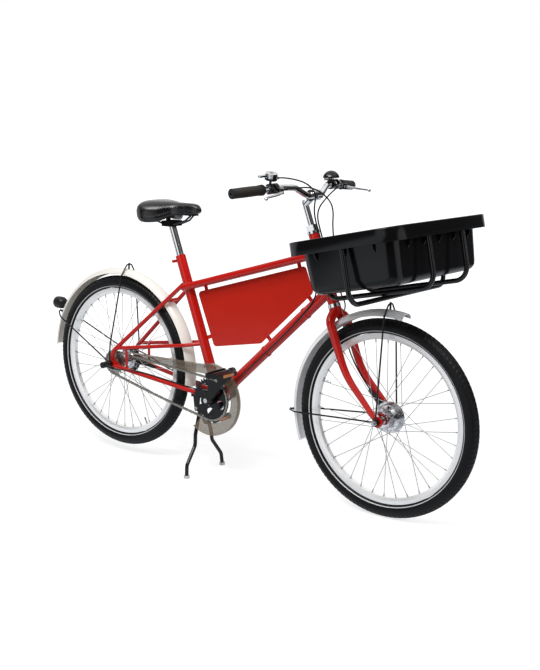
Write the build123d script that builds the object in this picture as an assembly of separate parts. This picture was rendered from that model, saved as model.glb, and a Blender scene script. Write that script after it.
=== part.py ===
from build123d import *
import os
from math import asin, atan2, cos, hypot, pi, radians, sin, tan

# Delivery bicycle: a welded steel frame with a plastic load tray fixed over the front wheel.
# Millimetres. +X points forward, +Y to the rider's left, +Z up. The origin lies on the floor,
# midway between the two feet of the stand, which holds the rear wheel clear of the floor.
# The drive is on the right side, at negative Y.

# Overall layout, with fore and aft places measured from the rear axle
WHEELBASE = 1176.0
REAR_LIFT = 36.0
STAND_AHEAD = 407.0
BRACKET_AHEAD = 476.0
BRACKET_DROP = 71.0
SEAT_ANGLE = 70.3
HEAD_ANGLE = 69.7
FORK_RAKE = 73.5

# Fits between pieces
RUN_CLEAR = 0.05
SEAT_GAP = 0.2
FACE_GAP = 0.3

# Wheels
TYRE_RADIUS = 330.0
TYRE_WIDTH = 50.0
TYRE_WALL = 4.0
TYRE_BEAD = 3.0
RIM_WIDTH = 24.8
RIM_DEPTH = 20.8
RIM_WALL = 2.4
RIM_BASE_WIDTH = 16.0
SPOKES = 36
SPOKE_RADIUS = 1.0
SPOKE_CROSSING = 60.0
SPOKE_SEAT = 0.1
SPOKE_HOLE_INSET = 4.0
NIPPLE_RADIUS = 2.0
NIPPLE_LENGTH = 12.0
FLANGE_THICK = 4.0
AXLE_RADIUS = 5.0
AXLE_NUT_RADIUS = 9.0
AXLE_NUT_LENGTH = 9.0
AXLE_STICK_OUT = 6.0
CONE_RADIUS = 9.0

# Front hub with its drum brake on the left
FRONT_ENDS = 103.0
FORK_END_THICK = 5.0
FRONT_SMALL_FLANGE = 30.0
FRONT_SMALL_FLANGE_Y = -30.0
FRONT_LARGE_FLANGE = 53.0
FRONT_LARGE_FLANGE_Y = 26.0
FRONT_SHELL_RADIUS = 20.0
DRUM_RADIUS = 45.0
DRUM_WALL = 4.0
DRUM_INNER_FACE_Y = -8.0
DRUM_OPEN_FACE_Y = 34.0
HUB_BOSS_RADIUS = 14.0
FRONT_HUB_END_Y = -38.0
FRONT_PLATE_THICK = 3.0
FRONT_PLATE_LIP = 2.0
REACTION_ARM_LENGTH = 118.0
REACTION_ARM_WIDTH = 26.0
REACTION_ARM_AIM = 135.0

# Rear hub, sprocket and brake unit
REAR_ENDS = 127.0
DROPOUT_THICK = 5.0
REAR_FLANGE = 36.0
REAR_FLANGE_RIGHT_Y = -27.0
REAR_FLANGE_LEFT_Y = 28.0
REAR_SHELL_RADIUS = 28.0
REAR_HUB_END_RIGHT_Y = -34.0
REAR_HUB_END_LEFT_Y = 32.0
REAR_UNIT_RADIUS = 42.0
REAR_UNIT_DEPTH = 18.0
REAR_FIN_RADIUS = 50.0
REAR_FIN_THICK = 2.0
REAR_ARM_LENGTH = 128.0
REAR_ARM_WIDTH = 22.0
REAR_ARM_THICK = 4.0
SPROCKET_TEETH = 22
DRIVER_RADIUS = 16.0

# Drive
CHAINRING_TEETH = 38
CHAIN_PITCH = 12.7
CHAIN_LINE = 47.5
TOOTH_THICK = 2.2
TOOTH_RISE = 3.6
TOOTH_ROOT = 4.0
CHAIN_PLATE_HEIGHT = 8.4
CHAIN_PLATE_THICK = 1.2
CHAIN_INNER_WIDTH = 4.0
CHAIN_ROLLER_RADIUS = 3.8
CRANK_LENGTH = 170.0
CRANK_ANGLE = 46.5
CRANK_INNER_Y = 64.0
CRANK_THICK = 14.0
CRANK_BOSS_RADIUS = 20.0
CRANK_END_RADIUS = 14.0
CRANK_AXLE_RADIUS = 8.5
SPINDLE_RADIUS = 6.0
PEDAL_GAP = 6.0
PEDAL_LENGTH = 92.0
PEDAL_DEPTH = 66.0
PEDAL_HEIGHT = 24.0
PEDAL_BAR = 15.0
PEDAL_BARREL_RADIUS = 11.0
CHAINRING_WEB_HOLE = 17.0
CHAINRING_WEB_CIRCLE = 48.0
CHAINRING_WEB_HOLES = 5

# Chain guard
GUARD_RADIUS = 132.0
GUARD_INNER_RADIUS = 88.0
GUARD_SHEET = 2.0
GUARD_INNER_Y = -40.0
GUARD_RIM_DEPTH = 17.0
GUARD_TOP_RISE = 49.0
GUARD_REAR_AHEAD = 90.0
GUARD_STRIP_HEIGHT = 27.0
GUARD_SWEEP_END = -125.0
GUARD_CLIP_RADIUS = 4.0

# Main frame tubes
BRACKET_SHELL_RADIUS = 20.0
BRACKET_SHELL_WIDTH = 70.0
BRACKET_CUP_FLANGE = 3.0
SEAT_TUBE_RADIUS = 18.5
SEAT_TUBE_LENGTH = 532.0
SEAT_POST_RADIUS = 14.5
DOWN_TUBE_RADIUS = 19.0
TOP_TUBE_RADIUS = 12.7
TUBE_WALL = 1.6
HEAD_TUBE_RADIUS = 19.0
HEAD_TUBE_WALL = 2.0
HEAD_TUBE_START = 407.0
HEAD_TUBE_LENGTH = 240.0
DOWN_TUBE_MEETS = 46.0
TOP_TUBE_SEAT_RISE = 415.0
TOP_TUBE_HEAD_DROP = 69.0
TOP_TUBE_REAR_SPREAD = 26.0
TOP_TUBE_FRONT_SPREAD = 28.0
TOP_TUBE_PAST_HEAD = 8.0

# Rear triangle, with heights measured from the rear axle
STAY_SPREAD = 66.0
SEAT_STAY_RADIUS = 8.0
SEAT_STAY_TOP_RISE = 400.0
SEAT_STAY_TOP_SPREAD = 28.0
SEAT_STAY_FOOT_AHEAD = 16.0
SEAT_STAY_FOOT_RISE = 53.0
MID_STAY_RADIUS = 7.0
MID_STAY_REAR_AHEAD = 34.0
MID_STAY_REAR_RISE = 63.0
MID_STAY_BEND_AHEAD = 352.0
MID_STAY_BEND_SPREAD = 41.0
MID_STAY_SEAT_RISE = 189.0
MID_STAY_BEND_RADIUS = 40.0
CHAIN_STAY_RADIUS = 8.0
CHAIN_STAY_REAR_AHEAD = 22.0
CHAIN_STAY_REAR_DROP = 8.0
CHAIN_STAY_FRONT_SPREAD = 29.5
STRUT_AHEAD = 76.0
STRUT_RADIUS = 5.0
BRIDGE_RADIUS = 6.0
DROPOUT_TOP = 40.0
DROPOUT_REACH = 40.0
DROPOUT_BACK = 12.0

# Sign panel in the main triangle
PANEL_THICK = 3.0
PANEL_CORNER = 14.0
PANEL_GAP = 15.0
PANEL_SEAT_GAP = 17.0
PANEL_FRONT_AHEAD = 850.0
PANEL_FRONT_LOW_AHEAD = 884.0
PANEL_BASE_AHEAD = 666.0
PANEL_BASE_REAR_RISE = 112.0
TAB_WIDTH = 14.0
TAB_THICK = 3.0
TAB_REACH = 13.0
PANEL_BOLT_RADIUS = 3.0
BOLT_HEAD_RADIUS = 5.5
BOLT_HEAD = 4.0
BOLT_SUNK = 0.2

# Headset, stem and handlebar, with distances along the steering axis from the axle's foot point
CUP_RADIUS = 22.0
LOWER_CUP = 12.0
UPPER_CUP = 9.0
STEERER_RADIUS = 12.7
HEADSET_NUT = 20.0
HEADSET_NUT_RADIUS = 20.0
QUILL_BOTTOM = 590.0
QUILL_TOP = 758.0
QUILL_RADIUS = 11.1
BAR_RISE_ALONG = 766.0
BAR_AHEAD = 43.0
BAR_ENDS_RADIUS = 11.1
BAR_WALL = 1.8
STEM_CLAMP_RADIUS = 19.0
STEM_CLAMP_WIDTH = 42.0
BAR_STRAIGHT = 40.0
BAR_SHOULDER_Y = 92.0
BAR_SHOULDER_UP = 31.0
BAR_SHOULDER_BACK = 3.0
BAR_TURN_Y = 150.0
BAR_TURN_UP = 36.0
BAR_TURN_BACK = 12.0
BAR_END_Y = 341.0
BAR_END_UP = 41.0
BAR_END_BACK = 64.0
BAR_SHOULDER_BEND = 40.0
BAR_TURN_BEND = 55.0
GRIP_LENGTH = 124.0
GRIP_RADIUS = 16.5
GRIP_CAP = 3.0

# Fork
CROWN_BELOW_HEAD = 14.0
BLADE_RADIUS = 16.0
BLADE_TIP_RADIUS = 9.0
BLADE_SPREAD = 49.0
BLADE_ROOT_SPREAD = 16.0
BLADE_SHOULDER = 38.0
BLADE_BEND_ALONG = 220.0
BLADE_BEND_RADIUS = 260.0
BLADE_SHOULDER_RADIUS = 30.0
CROWN_DEPTH = 26.0

# Mudguards and their wire stays
GUARD_CROWN = 360.0
GUARD_EDGE_DROP = 20.0
GUARD_HALF_WIDTH = 28.0
MUDGUARD_SHEET = 1.5
FRONT_GUARD_FROM = 11.0
FRONT_GUARD_TO = -111.0
REAR_GUARD_FROM = 98.0
REAR_GUARD_TO = -86.0
STAY_WIRE = 2.8
STAY_EYE_HALF = 3.1
STAY_HOOP_RISE = 18.0
STAY_EYE_RADIUS = 8.0
STAY_STUD_RADIUS = 3.5
FRONT_STAY_ANGLES = (-94.0, 0.8)
REAR_STAY_ANGLES = (-65.1, 5.9)
STAY_EDGE_CLEAR = 9.0
STAY_BEND = 12.0
GUARD_POST_RADIUS = 6.0
REAR_STAY_KINK = (75.0, 79.0)

# Tail lamp
LAMP_ANGLE = -60.5
LAMP_STAND_OFF = 29.0
LAMP_RADIUS = 24.0
LAMP_DEPTH = 26.0
LENS_DEPTH = 7.0
LAMP_FOOT = 11.0

# Tray, in its own tilted frame whose origin is the middle of the rear rim edge
TRAY_LENGTH = 412.0
TRAY_WIDTH = 612.0
TRAY_DEPTH = 172.0
TRAY_TILT = 11.4
TRAY_AHEAD_OF_HEAD = 83.0
TRAY_BELOW_HEAD = 4.0
TRAY_WALL = 3.5
TRAY_RIM_HEIGHT = 43.0
TRAY_RIM_WIDTH = 34.0
TRAY_CORNER = 75.0
TRAY_BODY_CORNER = 48.0
TRAY_DRAFT = 12.0
TRAY_FOOT_CHAMFER = 26.0
TRAY_RIB_HEIGHT = 24.0
TRAY_RIB_DEPTH = 14.0
TRAY_RIB_THICK = 4.0
TRAY_RIBS = 5

# Tray carrier
CARRIER_RADIUS = 8.0
CARRIER_SKIRT_GAP = 1.0
CARRIER_SIDE_AT = 214.0
CARRIER_HOOP_HALF = 108.0
CARRIER_HOOP_DEPTH = 196.0
CARRIER_BEND = 45.0
CARRIER_ARM_RADIUS = 7.0
BOSS_RADIUS = 9.0
BOSS_REACH = 34.0
CARRIER_UPPER_BOSS_DROP = 40.0
CARRIER_LOWER_BOSS_RISE = 62.0
CARRIER_UPPER_ARM_DEPTH = 74.0
CARRIER_LOWER_ARM_DEPTH = 130.0

# Saddle and post
POST_TOP_RISE = 118.0
POST_INSERT = 120.0
POST_WALL = 2.2
SADDLE_LENGTH = 253.0
SADDLE_HALF_WIDTH = 100.0
SADDLE_NOSE_HALF = 21.0
SADDLE_NOSE_AHEAD = 138.0
SADDLE_HEIGHT = 48.0
SADDLE_SKIRT = 34.0
SADDLE_BASE_THICK = 6.0
SADDLE_BASE_INSET = 7.0
RAIL_RADIUS = 3.5
RAIL_HALF_GAP = 22.0
RAIL_DROP = 32.0
RAIL_CLAMP_HALF = 22.0
CLAMP_BLOCK_LENGTH = 42.0
CLAMP_BLOCK_HEIGHT = 20.0
BUMPER_RADIUS = 9.0
BUMPER_LENGTH = 25.6

# Stand
STAND_PIVOT_BACK = 11.0
STAND_PIVOT_HEIGHT = 246.0
STAND_HALF_TRACK = 102.0
STAND_LEG_RADIUS = 7.0
STAND_PIN_RADIUS = 5.0
STAND_YOKE_RADIUS = 11.0
STAND_YOKE_HALF = 27.0
STAND_LEG_TOP_Y = 10.0
STAND_HIP = (44.0, 150.0)
STAND_KNEE = (48.0, 110.0)
STAND_ANKLE = (98.0, 46.0)
STAND_BEND = 28.0
STAND_CHEEK = 5.0
STAND_BLOCK_LENGTH = 44.0
STAND_BLOCK_HEIGHT = 20.0
FOOT_RADIUS = 10.5
FOOT_HEIGHT = 10.0

# Levers, shifter and bell on the handlebar
LEVER_CLAMP_RADIUS = 17.0
LEVER_CLAMP_WIDTH = 14.0
LEVER_ALONG_GRIP = 48.0
LEVER_PIVOT_OUT = 34.0
LEVER_PIVOT_PIN = 3.0
LEVER_BOSS_RADIUS = 8.0
LEVER_THICK = 9.0
LEVER_LENGTH = 105.0
LEVER_REACH = 55.0
LEVER_BLADE = 4.4
BARREL_RADIUS = 4.4
BARREL_LENGTH = 34.0
BARREL_OUT = 20.0
SHIFTER_ALONG_GRIP = 26.0
SHIFTER_CLAMP_WIDTH = 10.0
SHIFTER_LEAN = 0.75
SHIFTER_POST = 22.0
SHIFTER_RADIUS = 20.0
SHIFTER_HEIGHT = 15.0
SHIFTER_LEVER_LENGTH = 46.0
SHIFTER_LEVER_WIDTH = 12.0
BELL_Y = 130.0
BELL_RADIUS = 29.0
BELL_HEIGHT = 24.0
BELL_SHEET = 2.0
BELL_POST_RADIUS = 4.8
BELL_FOOT_RADIUS = 8.8
BELL_POST = 23.0
STRIKER_LENGTH = 22.0

# Cables and the shift box they end at
GEAR_BOX_LENGTH = 24.0
GEAR_BOX_RADIUS = 12.0
GEAR_BOX_ARM = 48.0
CABLE_RADIUS = 2.5
CABLE_CLIP_WIDTH = 10.0
CABLE_CLIP_THICK = 2.0
CABLE_CLIPS_AT = (0.2, 0.55, 0.86)
CABLE_MEETS = 690.0
CABLE_LEAN = 22.0
CABLE_LEAD = 24.0
CABLE_ARC_SHARE = 0.45

# Places worked out from the layout
REAR_AXLE = Vector(-STAND_AHEAD, 0, TYRE_RADIUS + REAR_LIFT)
FRONT_AXLE = Vector(WHEELBASE - STAND_AHEAD, 0, TYRE_RADIUS)
BRACKET = REAR_AXLE + Vector(BRACKET_AHEAD, 0, -BRACKET_DROP)
SIDEWAYS = Vector(0, 1, 0)
SEAT_UP = Vector(-cos(radians(SEAT_ANGLE)), 0, sin(radians(SEAT_ANGLE)))
STEER_UP = Vector(-cos(radians(HEAD_ANGLE)), 0, sin(radians(HEAD_ANGLE)))
STEER_AHEAD = Vector(sin(radians(HEAD_ANGLE)), 0, cos(radians(HEAD_ANGLE)))
STEER_FOOT = FRONT_AXLE - STEER_AHEAD * FORK_RAKE
SEAT_TOP = BRACKET + SEAT_UP * SEAT_TUBE_LENGTH
SIDES = (-1, 1)


def steer(along, ahead=0.0, across=0.0):
    """Return a point in the steering frame: along the axis, ahead of it and across."""
    return STEER_FOOT + STEER_UP * along + STEER_AHEAD * ahead + SIDEWAYS * across


HEAD_BOTTOM = steer(HEAD_TUBE_START)
HEAD_TOP = steer(HEAD_TUBE_START + HEAD_TUBE_LENGTH)
CROWN_ALONG = HEAD_TUBE_START - CROWN_BELOW_HEAD
DOWN_TUBE_END = steer(HEAD_TUBE_START + DOWN_TUBE_MEETS)
TOP_TUBE_REAR = BRACKET + SEAT_UP * TOP_TUBE_SEAT_RISE
TOP_TUBE_FRONT = steer(HEAD_TUBE_START + HEAD_TUBE_LENGTH - TOP_TUBE_HEAD_DROP)
FORK_END_Y = FRONT_ENDS / 2 + FORK_END_THICK / 2
RIM_RADIUS = TYRE_RADIUS - TYRE_WIDTH + TYRE_BEAD - SEAT_GAP
CARRIER_RING_DEPTH = TRAY_WALL + SEAT_GAP + CARRIER_RADIUS
PARTS = {}


def keep(name, *shapes):
    """Keep the solids of a named piece."""
    PARTS[name] = [solid for shape in shapes for solid in shape.solids()]


def rod(start, end, radius):
    """Return a round bar between two points."""
    run = end - start
    return Solid.make_cylinder(radius, run.length, Plane(start, z_dir=run))


def pipe(start, end, radius, wall):
    """Return a round tube between two points."""
    return rod(start, end, radius).cut(rod(start, end, radius - wall)).solid()


def trim(body, *cutters):
    """Return the largest solid left of a body after the cutters are taken away."""
    return max(body.cut(*cutters).solids(), key=lambda solid: solid.volume)


def join(*bodies):
    """Return one solid made of bodies that touch or overlap."""
    return bodies[0].fuse(*bodies[1:]).solid()


def bent(points, bends, radius, wall=0.0):
    """Return a bar or tube swept along straight runs with rounded corners."""
    path = FilletPolyline(*points, radius=bends)
    section = Circle(radius) - Circle(radius - wall) if wall else Circle(radius)
    return sweep(Plane(path @ 0, z_dir=path % 0) * section, path=path).solid()


def cord(points):
    """Return a cable along hand-chosen points, with arcs as large as the straight runs allow."""
    bends = []
    for before, corner, after in zip(points, points[1:], points[2:]):
        turn = radians((corner - before).get_angle(after - corner))
        run = min((corner - before).length, (after - corner).length)
        bends.append(CABLE_ARC_SHARE * run / tan(turn / 2))
    return bent(points, bends, CABLE_RADIUS)


def tapered(points, bends, start_radius, end_radius):
    """Return a round bar that thins evenly along straight runs with rounded corners."""
    path = FilletPolyline(*points, radius=bends)
    sections = [Plane(path @ 0, z_dir=path % 0) * Circle(start_radius),
                Plane(path @ 1, z_dir=path % 1) * Circle(end_radius)]
    return sweep(sections, path=path, multisection=True).solid()


def turned(centre, outline, sweep_from=0.0, arc=360.0):
    """Turn an outline of (radius, y) points about a sideways axis, from an angle ahead of straight up."""
    plane = Plane(centre, x_dir=(0, 0, 1), z_dir=(-1, 0, 0))
    return turned_face(centre, plane * make_face(Polyline(*outline, close=True)), sweep_from, arc)


def turned_face(centre, face, sweep_from=0.0, arc=360.0):
    """Turn a face about a sideways axis through a centre."""
    axis = Axis(centre, SIDEWAYS)
    return revolve(face.rotate(axis, sweep_from), axis, arc).solid()


def side_plate(outline, inner_y, thick):
    """Return a plate with an outline of (x, z) points, spread along Y from one face."""
    face = make_face(Polyline(*[(x, inner_y, z) for x, z in outline], close=True))
    return extrude(face, amount=thick, dir=(0, 1, 0)).solid()


def ahead_up(centre, angle, radius, across=0.0):
    """Return a point on a wheel: an angle ahead of straight up, a radius and a place across."""
    lift = Vector(sin(radians(angle)), 0, cos(radians(angle))) * radius
    return centre + lift + SIDEWAYS * across


# Wheels


def tyre(axle):
    """Return a hollow tyre casing open towards the rim."""
    middle = TYRE_RADIUS - TYRE_WIDTH / 2
    bead = RIM_RADIUS + SEAT_GAP
    outer = TYRE_WIDTH / 2
    inner = outer - TYRE_WALL
    outer_y = (outer ** 2 - (middle - bead) ** 2) ** 0.5
    inner_bead = bead + TYRE_BEAD
    inner_y = (inner ** 2 - (middle - inner_bead) ** 2) ** 0.5
    edges = [
        ThreePointArc((bead, -outer_y), (TYRE_RADIUS, 0), (bead, outer_y)),
        Line((bead, outer_y), (inner_bead, inner_y)),
        ThreePointArc((inner_bead, inner_y), (middle + inner, 0), (inner_bead, -inner_y)),
        Line((inner_bead, -inner_y), (bead, -outer_y)),
    ]
    plane = Plane(axle, x_dir=(0, 0, 1), z_dir=(-1, 0, 0))
    return turned_face(axle, plane * make_face(edges))


def rim(axle):
    """Return a channel rim that opens towards the tyre."""
    top = RIM_RADIUS
    base = top - RIM_DEPTH
    shoulder = base + (RIM_WIDTH - RIM_BASE_WIDTH)
    half = RIM_WIDTH / 2
    base_half = RIM_BASE_WIDTH / 2
    side = [(base, base_half), (shoulder, half), (top, half), (top, half - RIM_WALL)]
    side += [(shoulder + RIM_WALL, half - RIM_WALL), (base + RIM_WALL, base_half - RIM_WALL / 2)]
    return turned(axle, [(r, -y) for r, y in reversed(side)] + side)


def spokes(axle, flanges):
    """Return crossed spokes from two flanges, given as (y, radius), with their nipples."""
    base = RIM_RADIUS - RIM_DEPTH
    per_side = SPOKES // 2
    step = 360.0 / per_side
    offset = FLANGE_THICK / 2 + SPOKE_RADIUS - SPOKE_SEAT
    made = []
    for number, (flange_y, flange_radius) in enumerate(flanges):
        for index in range(per_side):
            lead = 1 if index % 2 else -1
            rim_angle = step * (index + number / 2)
            foot = ahead_up(axle, rim_angle - lead * SPOKE_CROSSING, flange_radius - SPOKE_HOLE_INSET,
                            flange_y + lead * offset)
            tip = ahead_up(axle, rim_angle, base + RIM_WALL / 2)
            nipple = tip + (foot - tip).normalized() * NIPPLE_LENGTH
            made.append(join(rod(foot, tip, SPOKE_RADIUS), rod(nipple, tip, NIPPLE_RADIUS)))
    return made


def front_hub():
    """Return the front hub: a small right flange and a brake drum open to the left."""
    half = FLANGE_THICK / 2
    small = FRONT_SMALL_FLANGE_Y
    large = FRONT_LARGE_FLANGE_Y
    bore = AXLE_RADIUS + RUN_CLEAR
    inside = DRUM_INNER_FACE_Y + 2 * DRUM_WALL
    outline = [(bore, FRONT_HUB_END_Y), (HUB_BOSS_RADIUS, FRONT_HUB_END_Y), (HUB_BOSS_RADIUS, small - half)]
    outline += [(FRONT_SMALL_FLANGE, small - half), (FRONT_SMALL_FLANGE, small + half)]
    outline += [(FRONT_SHELL_RADIUS, small + half), (FRONT_SHELL_RADIUS, DRUM_INNER_FACE_Y)]
    outline += [(DRUM_RADIUS - 2 * DRUM_WALL, DRUM_INNER_FACE_Y), (DRUM_RADIUS, inside)]
    outline += [(DRUM_RADIUS, large - half), (FRONT_LARGE_FLANGE, large - half)]
    outline += [(FRONT_LARGE_FLANGE, large + half), (DRUM_RADIUS, large + half)]
    outline += [(DRUM_RADIUS, DRUM_OPEN_FACE_Y), (DRUM_RADIUS - DRUM_WALL, DRUM_OPEN_FACE_Y)]
    outline += [(DRUM_RADIUS - DRUM_WALL, inside), (HUB_BOSS_RADIUS, inside)]
    outline += [(HUB_BOSS_RADIUS, DRUM_OPEN_FACE_Y - DRUM_WALL), (bore, DRUM_OPEN_FACE_Y - DRUM_WALL)]
    return turned(FRONT_AXLE, outline)


def rear_hub():
    """Return the rear hub shell with its two flanges."""
    half = FLANGE_THICK / 2
    bore = AXLE_RADIUS + RUN_CLEAR
    outline = [(bore, REAR_HUB_END_RIGHT_Y), (DRIVER_RADIUS, REAR_HUB_END_RIGHT_Y)]
    outline += [(DRIVER_RADIUS, REAR_FLANGE_RIGHT_Y - half)]
    for flange_y in (REAR_FLANGE_RIGHT_Y, REAR_FLANGE_LEFT_Y):
        outline += [(REAR_FLANGE, flange_y - half), (REAR_FLANGE, flange_y + half)]
        outline += [(REAR_SHELL_RADIUS, flange_y + half)]
        outline += [(REAR_SHELL_RADIUS, REAR_FLANGE_LEFT_Y - half)] if flange_y < 0 else []
    outline += [(REAR_SHELL_RADIUS, REAR_HUB_END_LEFT_Y), (bore, REAR_HUB_END_LEFT_Y)]
    return turned(REAR_AXLE, outline)


def nut_face(ends, end_thick):
    """Return how far out the axle nuts start: beyond the frame end and two stay eyes."""
    return ends / 2 + end_thick + 2 * (2 * STAY_EYE_HALF + SEAT_GAP) + SEAT_GAP


def axle_set(axle, ends, end_thick, right_stop, left_stop):
    """Return an axle with the cones inside the frame ends and the nuts outside the stay eyes."""
    half = ends / 2
    face = nut_face(ends, end_thick)
    tip = face + AXLE_NUT_LENGTH + AXLE_STICK_OUT
    shaft = rod(axle - SIDEWAYS * tip, axle + SIDEWAYS * tip, AXLE_RADIUS)
    rings = [(-half, right_stop), (left_stop, half)]
    cones = [rod(axle + SIDEWAYS * a, axle + SIDEWAYS * b, CONE_RADIUS) for a, b in rings]
    nuts = []
    for side in SIDES:
        plane = Plane(axle + SIDEWAYS * side * face, z_dir=SIDEWAYS * side)
        nuts.append(extrude(plane * RegularPolygon(AXLE_NUT_RADIUS, 6), amount=AXLE_NUT_LENGTH).solid())
    return join(shaft, *cones, *nuts)


def front_arm_line():
    """Return the direction of the front brake's arm, from the axle up behind the left blade."""
    return (steer(REACTION_ARM_AIM) - FRONT_AXLE).normalized()


def front_brake_plate():
    """Return the plate that closes the drum, with the arm that holds it to the left blade."""
    face = DRUM_OPEN_FACE_Y + FACE_GAP
    disc = turned(FRONT_AXLE, [(AXLE_RADIUS + RUN_CLEAR, face), (DRUM_RADIUS + FRONT_PLATE_LIP, face),
                               (DRUM_RADIUS + FRONT_PLATE_LIP, face + FRONT_PLATE_THICK),
                               (CONE_RADIUS, face + FRONT_PLATE_THICK),
                               (CONE_RADIUS, face + 2 * FRONT_PLATE_THICK),
                               (AXLE_RADIUS + RUN_CLEAR, face + 2 * FRONT_PLATE_THICK)])
    along = front_arm_line()
    square = Vector(along.Z, 0, -along.X)
    root = FRONT_AXLE + along * CONE_RADIUS * 1.5
    tip = FRONT_AXLE + along * REACTION_ARM_LENGTH
    half = REACTION_ARM_WIDTH / 2
    corners = [root - square * half, tip - square * half / 2, tip + square * half / 2, root + square * half]
    arm = side_plate([(p.X, p.Z) for p in corners], face, FRONT_PLATE_THICK)
    return join(disc, arm)


def rear_brake_plate():
    """Return the brake unit on the left of the rear hub, with the arm along the left chain stay."""
    face = REAR_HUB_END_LEFT_Y + FACE_GAP
    bore = AXLE_RADIUS + RUN_CLEAR
    outer = face + REAR_UNIT_DEPTH
    middle = face + REAR_UNIT_DEPTH / 2
    outline = [(bore, face), (REAR_UNIT_RADIUS, face), (REAR_UNIT_RADIUS, middle - REAR_FIN_THICK)]
    outline += [(REAR_FIN_RADIUS, middle - REAR_FIN_THICK), (REAR_FIN_RADIUS, middle)]
    outline += [(REAR_UNIT_RADIUS, middle), (REAR_UNIT_RADIUS * 0.8, outer), (bore, outer)]
    unit = turned(REAR_AXLE, outline)
    stay = chain_stay_line(1)
    along = (stay[1] - stay[0]).normalized()
    along = Vector(along.X, 0, along.Z).normalized()
    square = Vector(along.Z, 0, -along.X)
    root = REAR_AXLE + along * CONE_RADIUS * 1.5
    tip = REAR_AXLE + along * REAR_ARM_LENGTH
    half = REAR_ARM_WIDTH / 2
    corners = [root - square * half, tip - square * half / 2, tip + square * half / 2, root + square * half]
    arm = side_plate([(p.X, p.Z) for p in corners], middle, REAR_ARM_THICK)
    return join(unit, arm)


# Drive


def pitch_radius(teeth):
    """Return the radius on which the chain's pins run round a toothed wheel."""
    return CHAIN_PITCH / (2 * sin(pi / teeth))


def toothed_disc(centre, teeth, bore, holes):
    """Return a chain wheel with teeth, a bore and round holes in its web."""
    pitch = pitch_radius(teeth)
    outline = []
    for index in range(teeth):
        for share, radius in ((-0.32, pitch - TOOTH_ROOT), (-0.1, pitch + TOOTH_RISE),
                              (0.1, pitch + TOOTH_RISE), (0.32, pitch - TOOTH_ROOT)):
            spot = ahead_up(centre, 360.0 * (index + 0.5 + share) / teeth, radius)
            outline.append((spot.X, spot.Z))
    face = -CHAIN_LINE - TOOTH_THICK / 2
    disc = side_plate(outline, face, TOOTH_THICK)
    cutters = [rod(centre + SIDEWAYS * (face - 1), centre + SIDEWAYS * (face + TOOTH_THICK + 1), bore)]
    for index in range(holes):
        spot = ahead_up(centre, 360.0 * (index + 0.5) / holes, CHAINRING_WEB_CIRCLE)
        cutters.append(rod(spot + SIDEWAYS * (face - 1), spot + SIDEWAYS * (face + TOOTH_THICK + 1),
                           CHAINRING_WEB_HOLE))
    return trim(disc, *cutters)


def sprocket():
    """Return the rear sprocket on its driver sleeve."""
    disc = toothed_disc(REAR_AXLE, SPROCKET_TEETH, DRIVER_RADIUS - 2, 0)
    bore = AXLE_RADIUS + RUN_CLEAR
    inner = REAR_HUB_END_RIGHT_Y - FACE_GAP
    outer = -CHAIN_LINE - TOOTH_THICK * 2
    sleeve = turned(REAR_AXLE, [(bore, outer), (DRIVER_RADIUS, outer), (DRIVER_RADIUS, inner), (bore, inner)])
    return join(disc, sleeve)


def chain_tangents():
    """Return the unit normals of the upper and lower chain runs."""
    span = BRACKET - REAR_AXLE
    reach = hypot(span.X, span.Z)
    slope = atan2(span.Z, span.X)
    lean = asin((pitch_radius(CHAINRING_TEETH) - pitch_radius(SPROCKET_TEETH)) / reach)
    upper = slope + pi / 2 + lean
    lower = slope - pi / 2 - lean
    return [Vector(cos(angle), 0, sin(angle)) for angle in (upper, lower)]


def chain():
    """Return the chain: two side plate loops joined by rollers along the free runs."""
    big, small = pitch_radius(CHAINRING_TEETH), pitch_radius(SPROCKET_TEETH)
    normals = chain_tangents()
    half = CHAIN_PLATE_HEIGHT / 2

    def loop(grow, face):
        a, b = small + grow, big + grow
        ends = [(REAR_AXLE + n * a, BRACKET + n * b) for n in normals]
        back = REAR_AXLE - (BRACKET - REAR_AXLE).normalized() * a
        front = BRACKET + (BRACKET - REAR_AXLE).normalized() * b
        flat = [(p.X, p.Z) for pair in ends for p in pair]
        (ua, ub, la, lb) = flat
        plane = Plane((0, face, 0), x_dir=(1, 0, 0), z_dir=(0, -1, 0))
        edges = [Line(ua, ub), ThreePointArc(ub, (front.X, front.Z), lb), Line(lb, la),
                 ThreePointArc(la, (back.X, back.Z), ua)]
        return plane * make_face(edges)

    plates = []
    for side in SIDES:
        face = -CHAIN_LINE + side * CHAIN_INNER_WIDTH / 2
        band = loop(half, face) - loop(-half, face)
        plates.append(extrude(band, amount=CHAIN_PLATE_THICK, dir=(0, side, 0)).solid())
    links = []
    clear = TOOTH_RISE + CHAIN_ROLLER_RADIUS + FACE_GAP
    for normal in normals:
        start, end = REAR_AXLE + normal * small, BRACKET + normal * big
        run = end - start
        count = int(run.length // CHAIN_PITCH)
        for index in range(1, count):
            spot = start + run.normalized() * CHAIN_PITCH * index
            if (spot - REAR_AXLE).length < small + clear or (spot - BRACKET).length < big + clear:
                continue
            middle = Vector(spot.X, -CHAIN_LINE, spot.Z)
            reach = SIDEWAYS * CHAIN_INNER_WIDTH / 2
            links.append(rod(middle - reach, middle + reach, CHAIN_ROLLER_RADIUS))
    return join(*plates, *links)


def crank_point(side, across):
    """Return the pedal end of a crank arm; the right arm points forward and up."""
    angle = radians(CRANK_ANGLE)
    reach = Vector(cos(angle), 0, sin(angle)) * CRANK_LENGTH * (-side)
    return BRACKET + reach + SIDEWAYS * side * across


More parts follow.
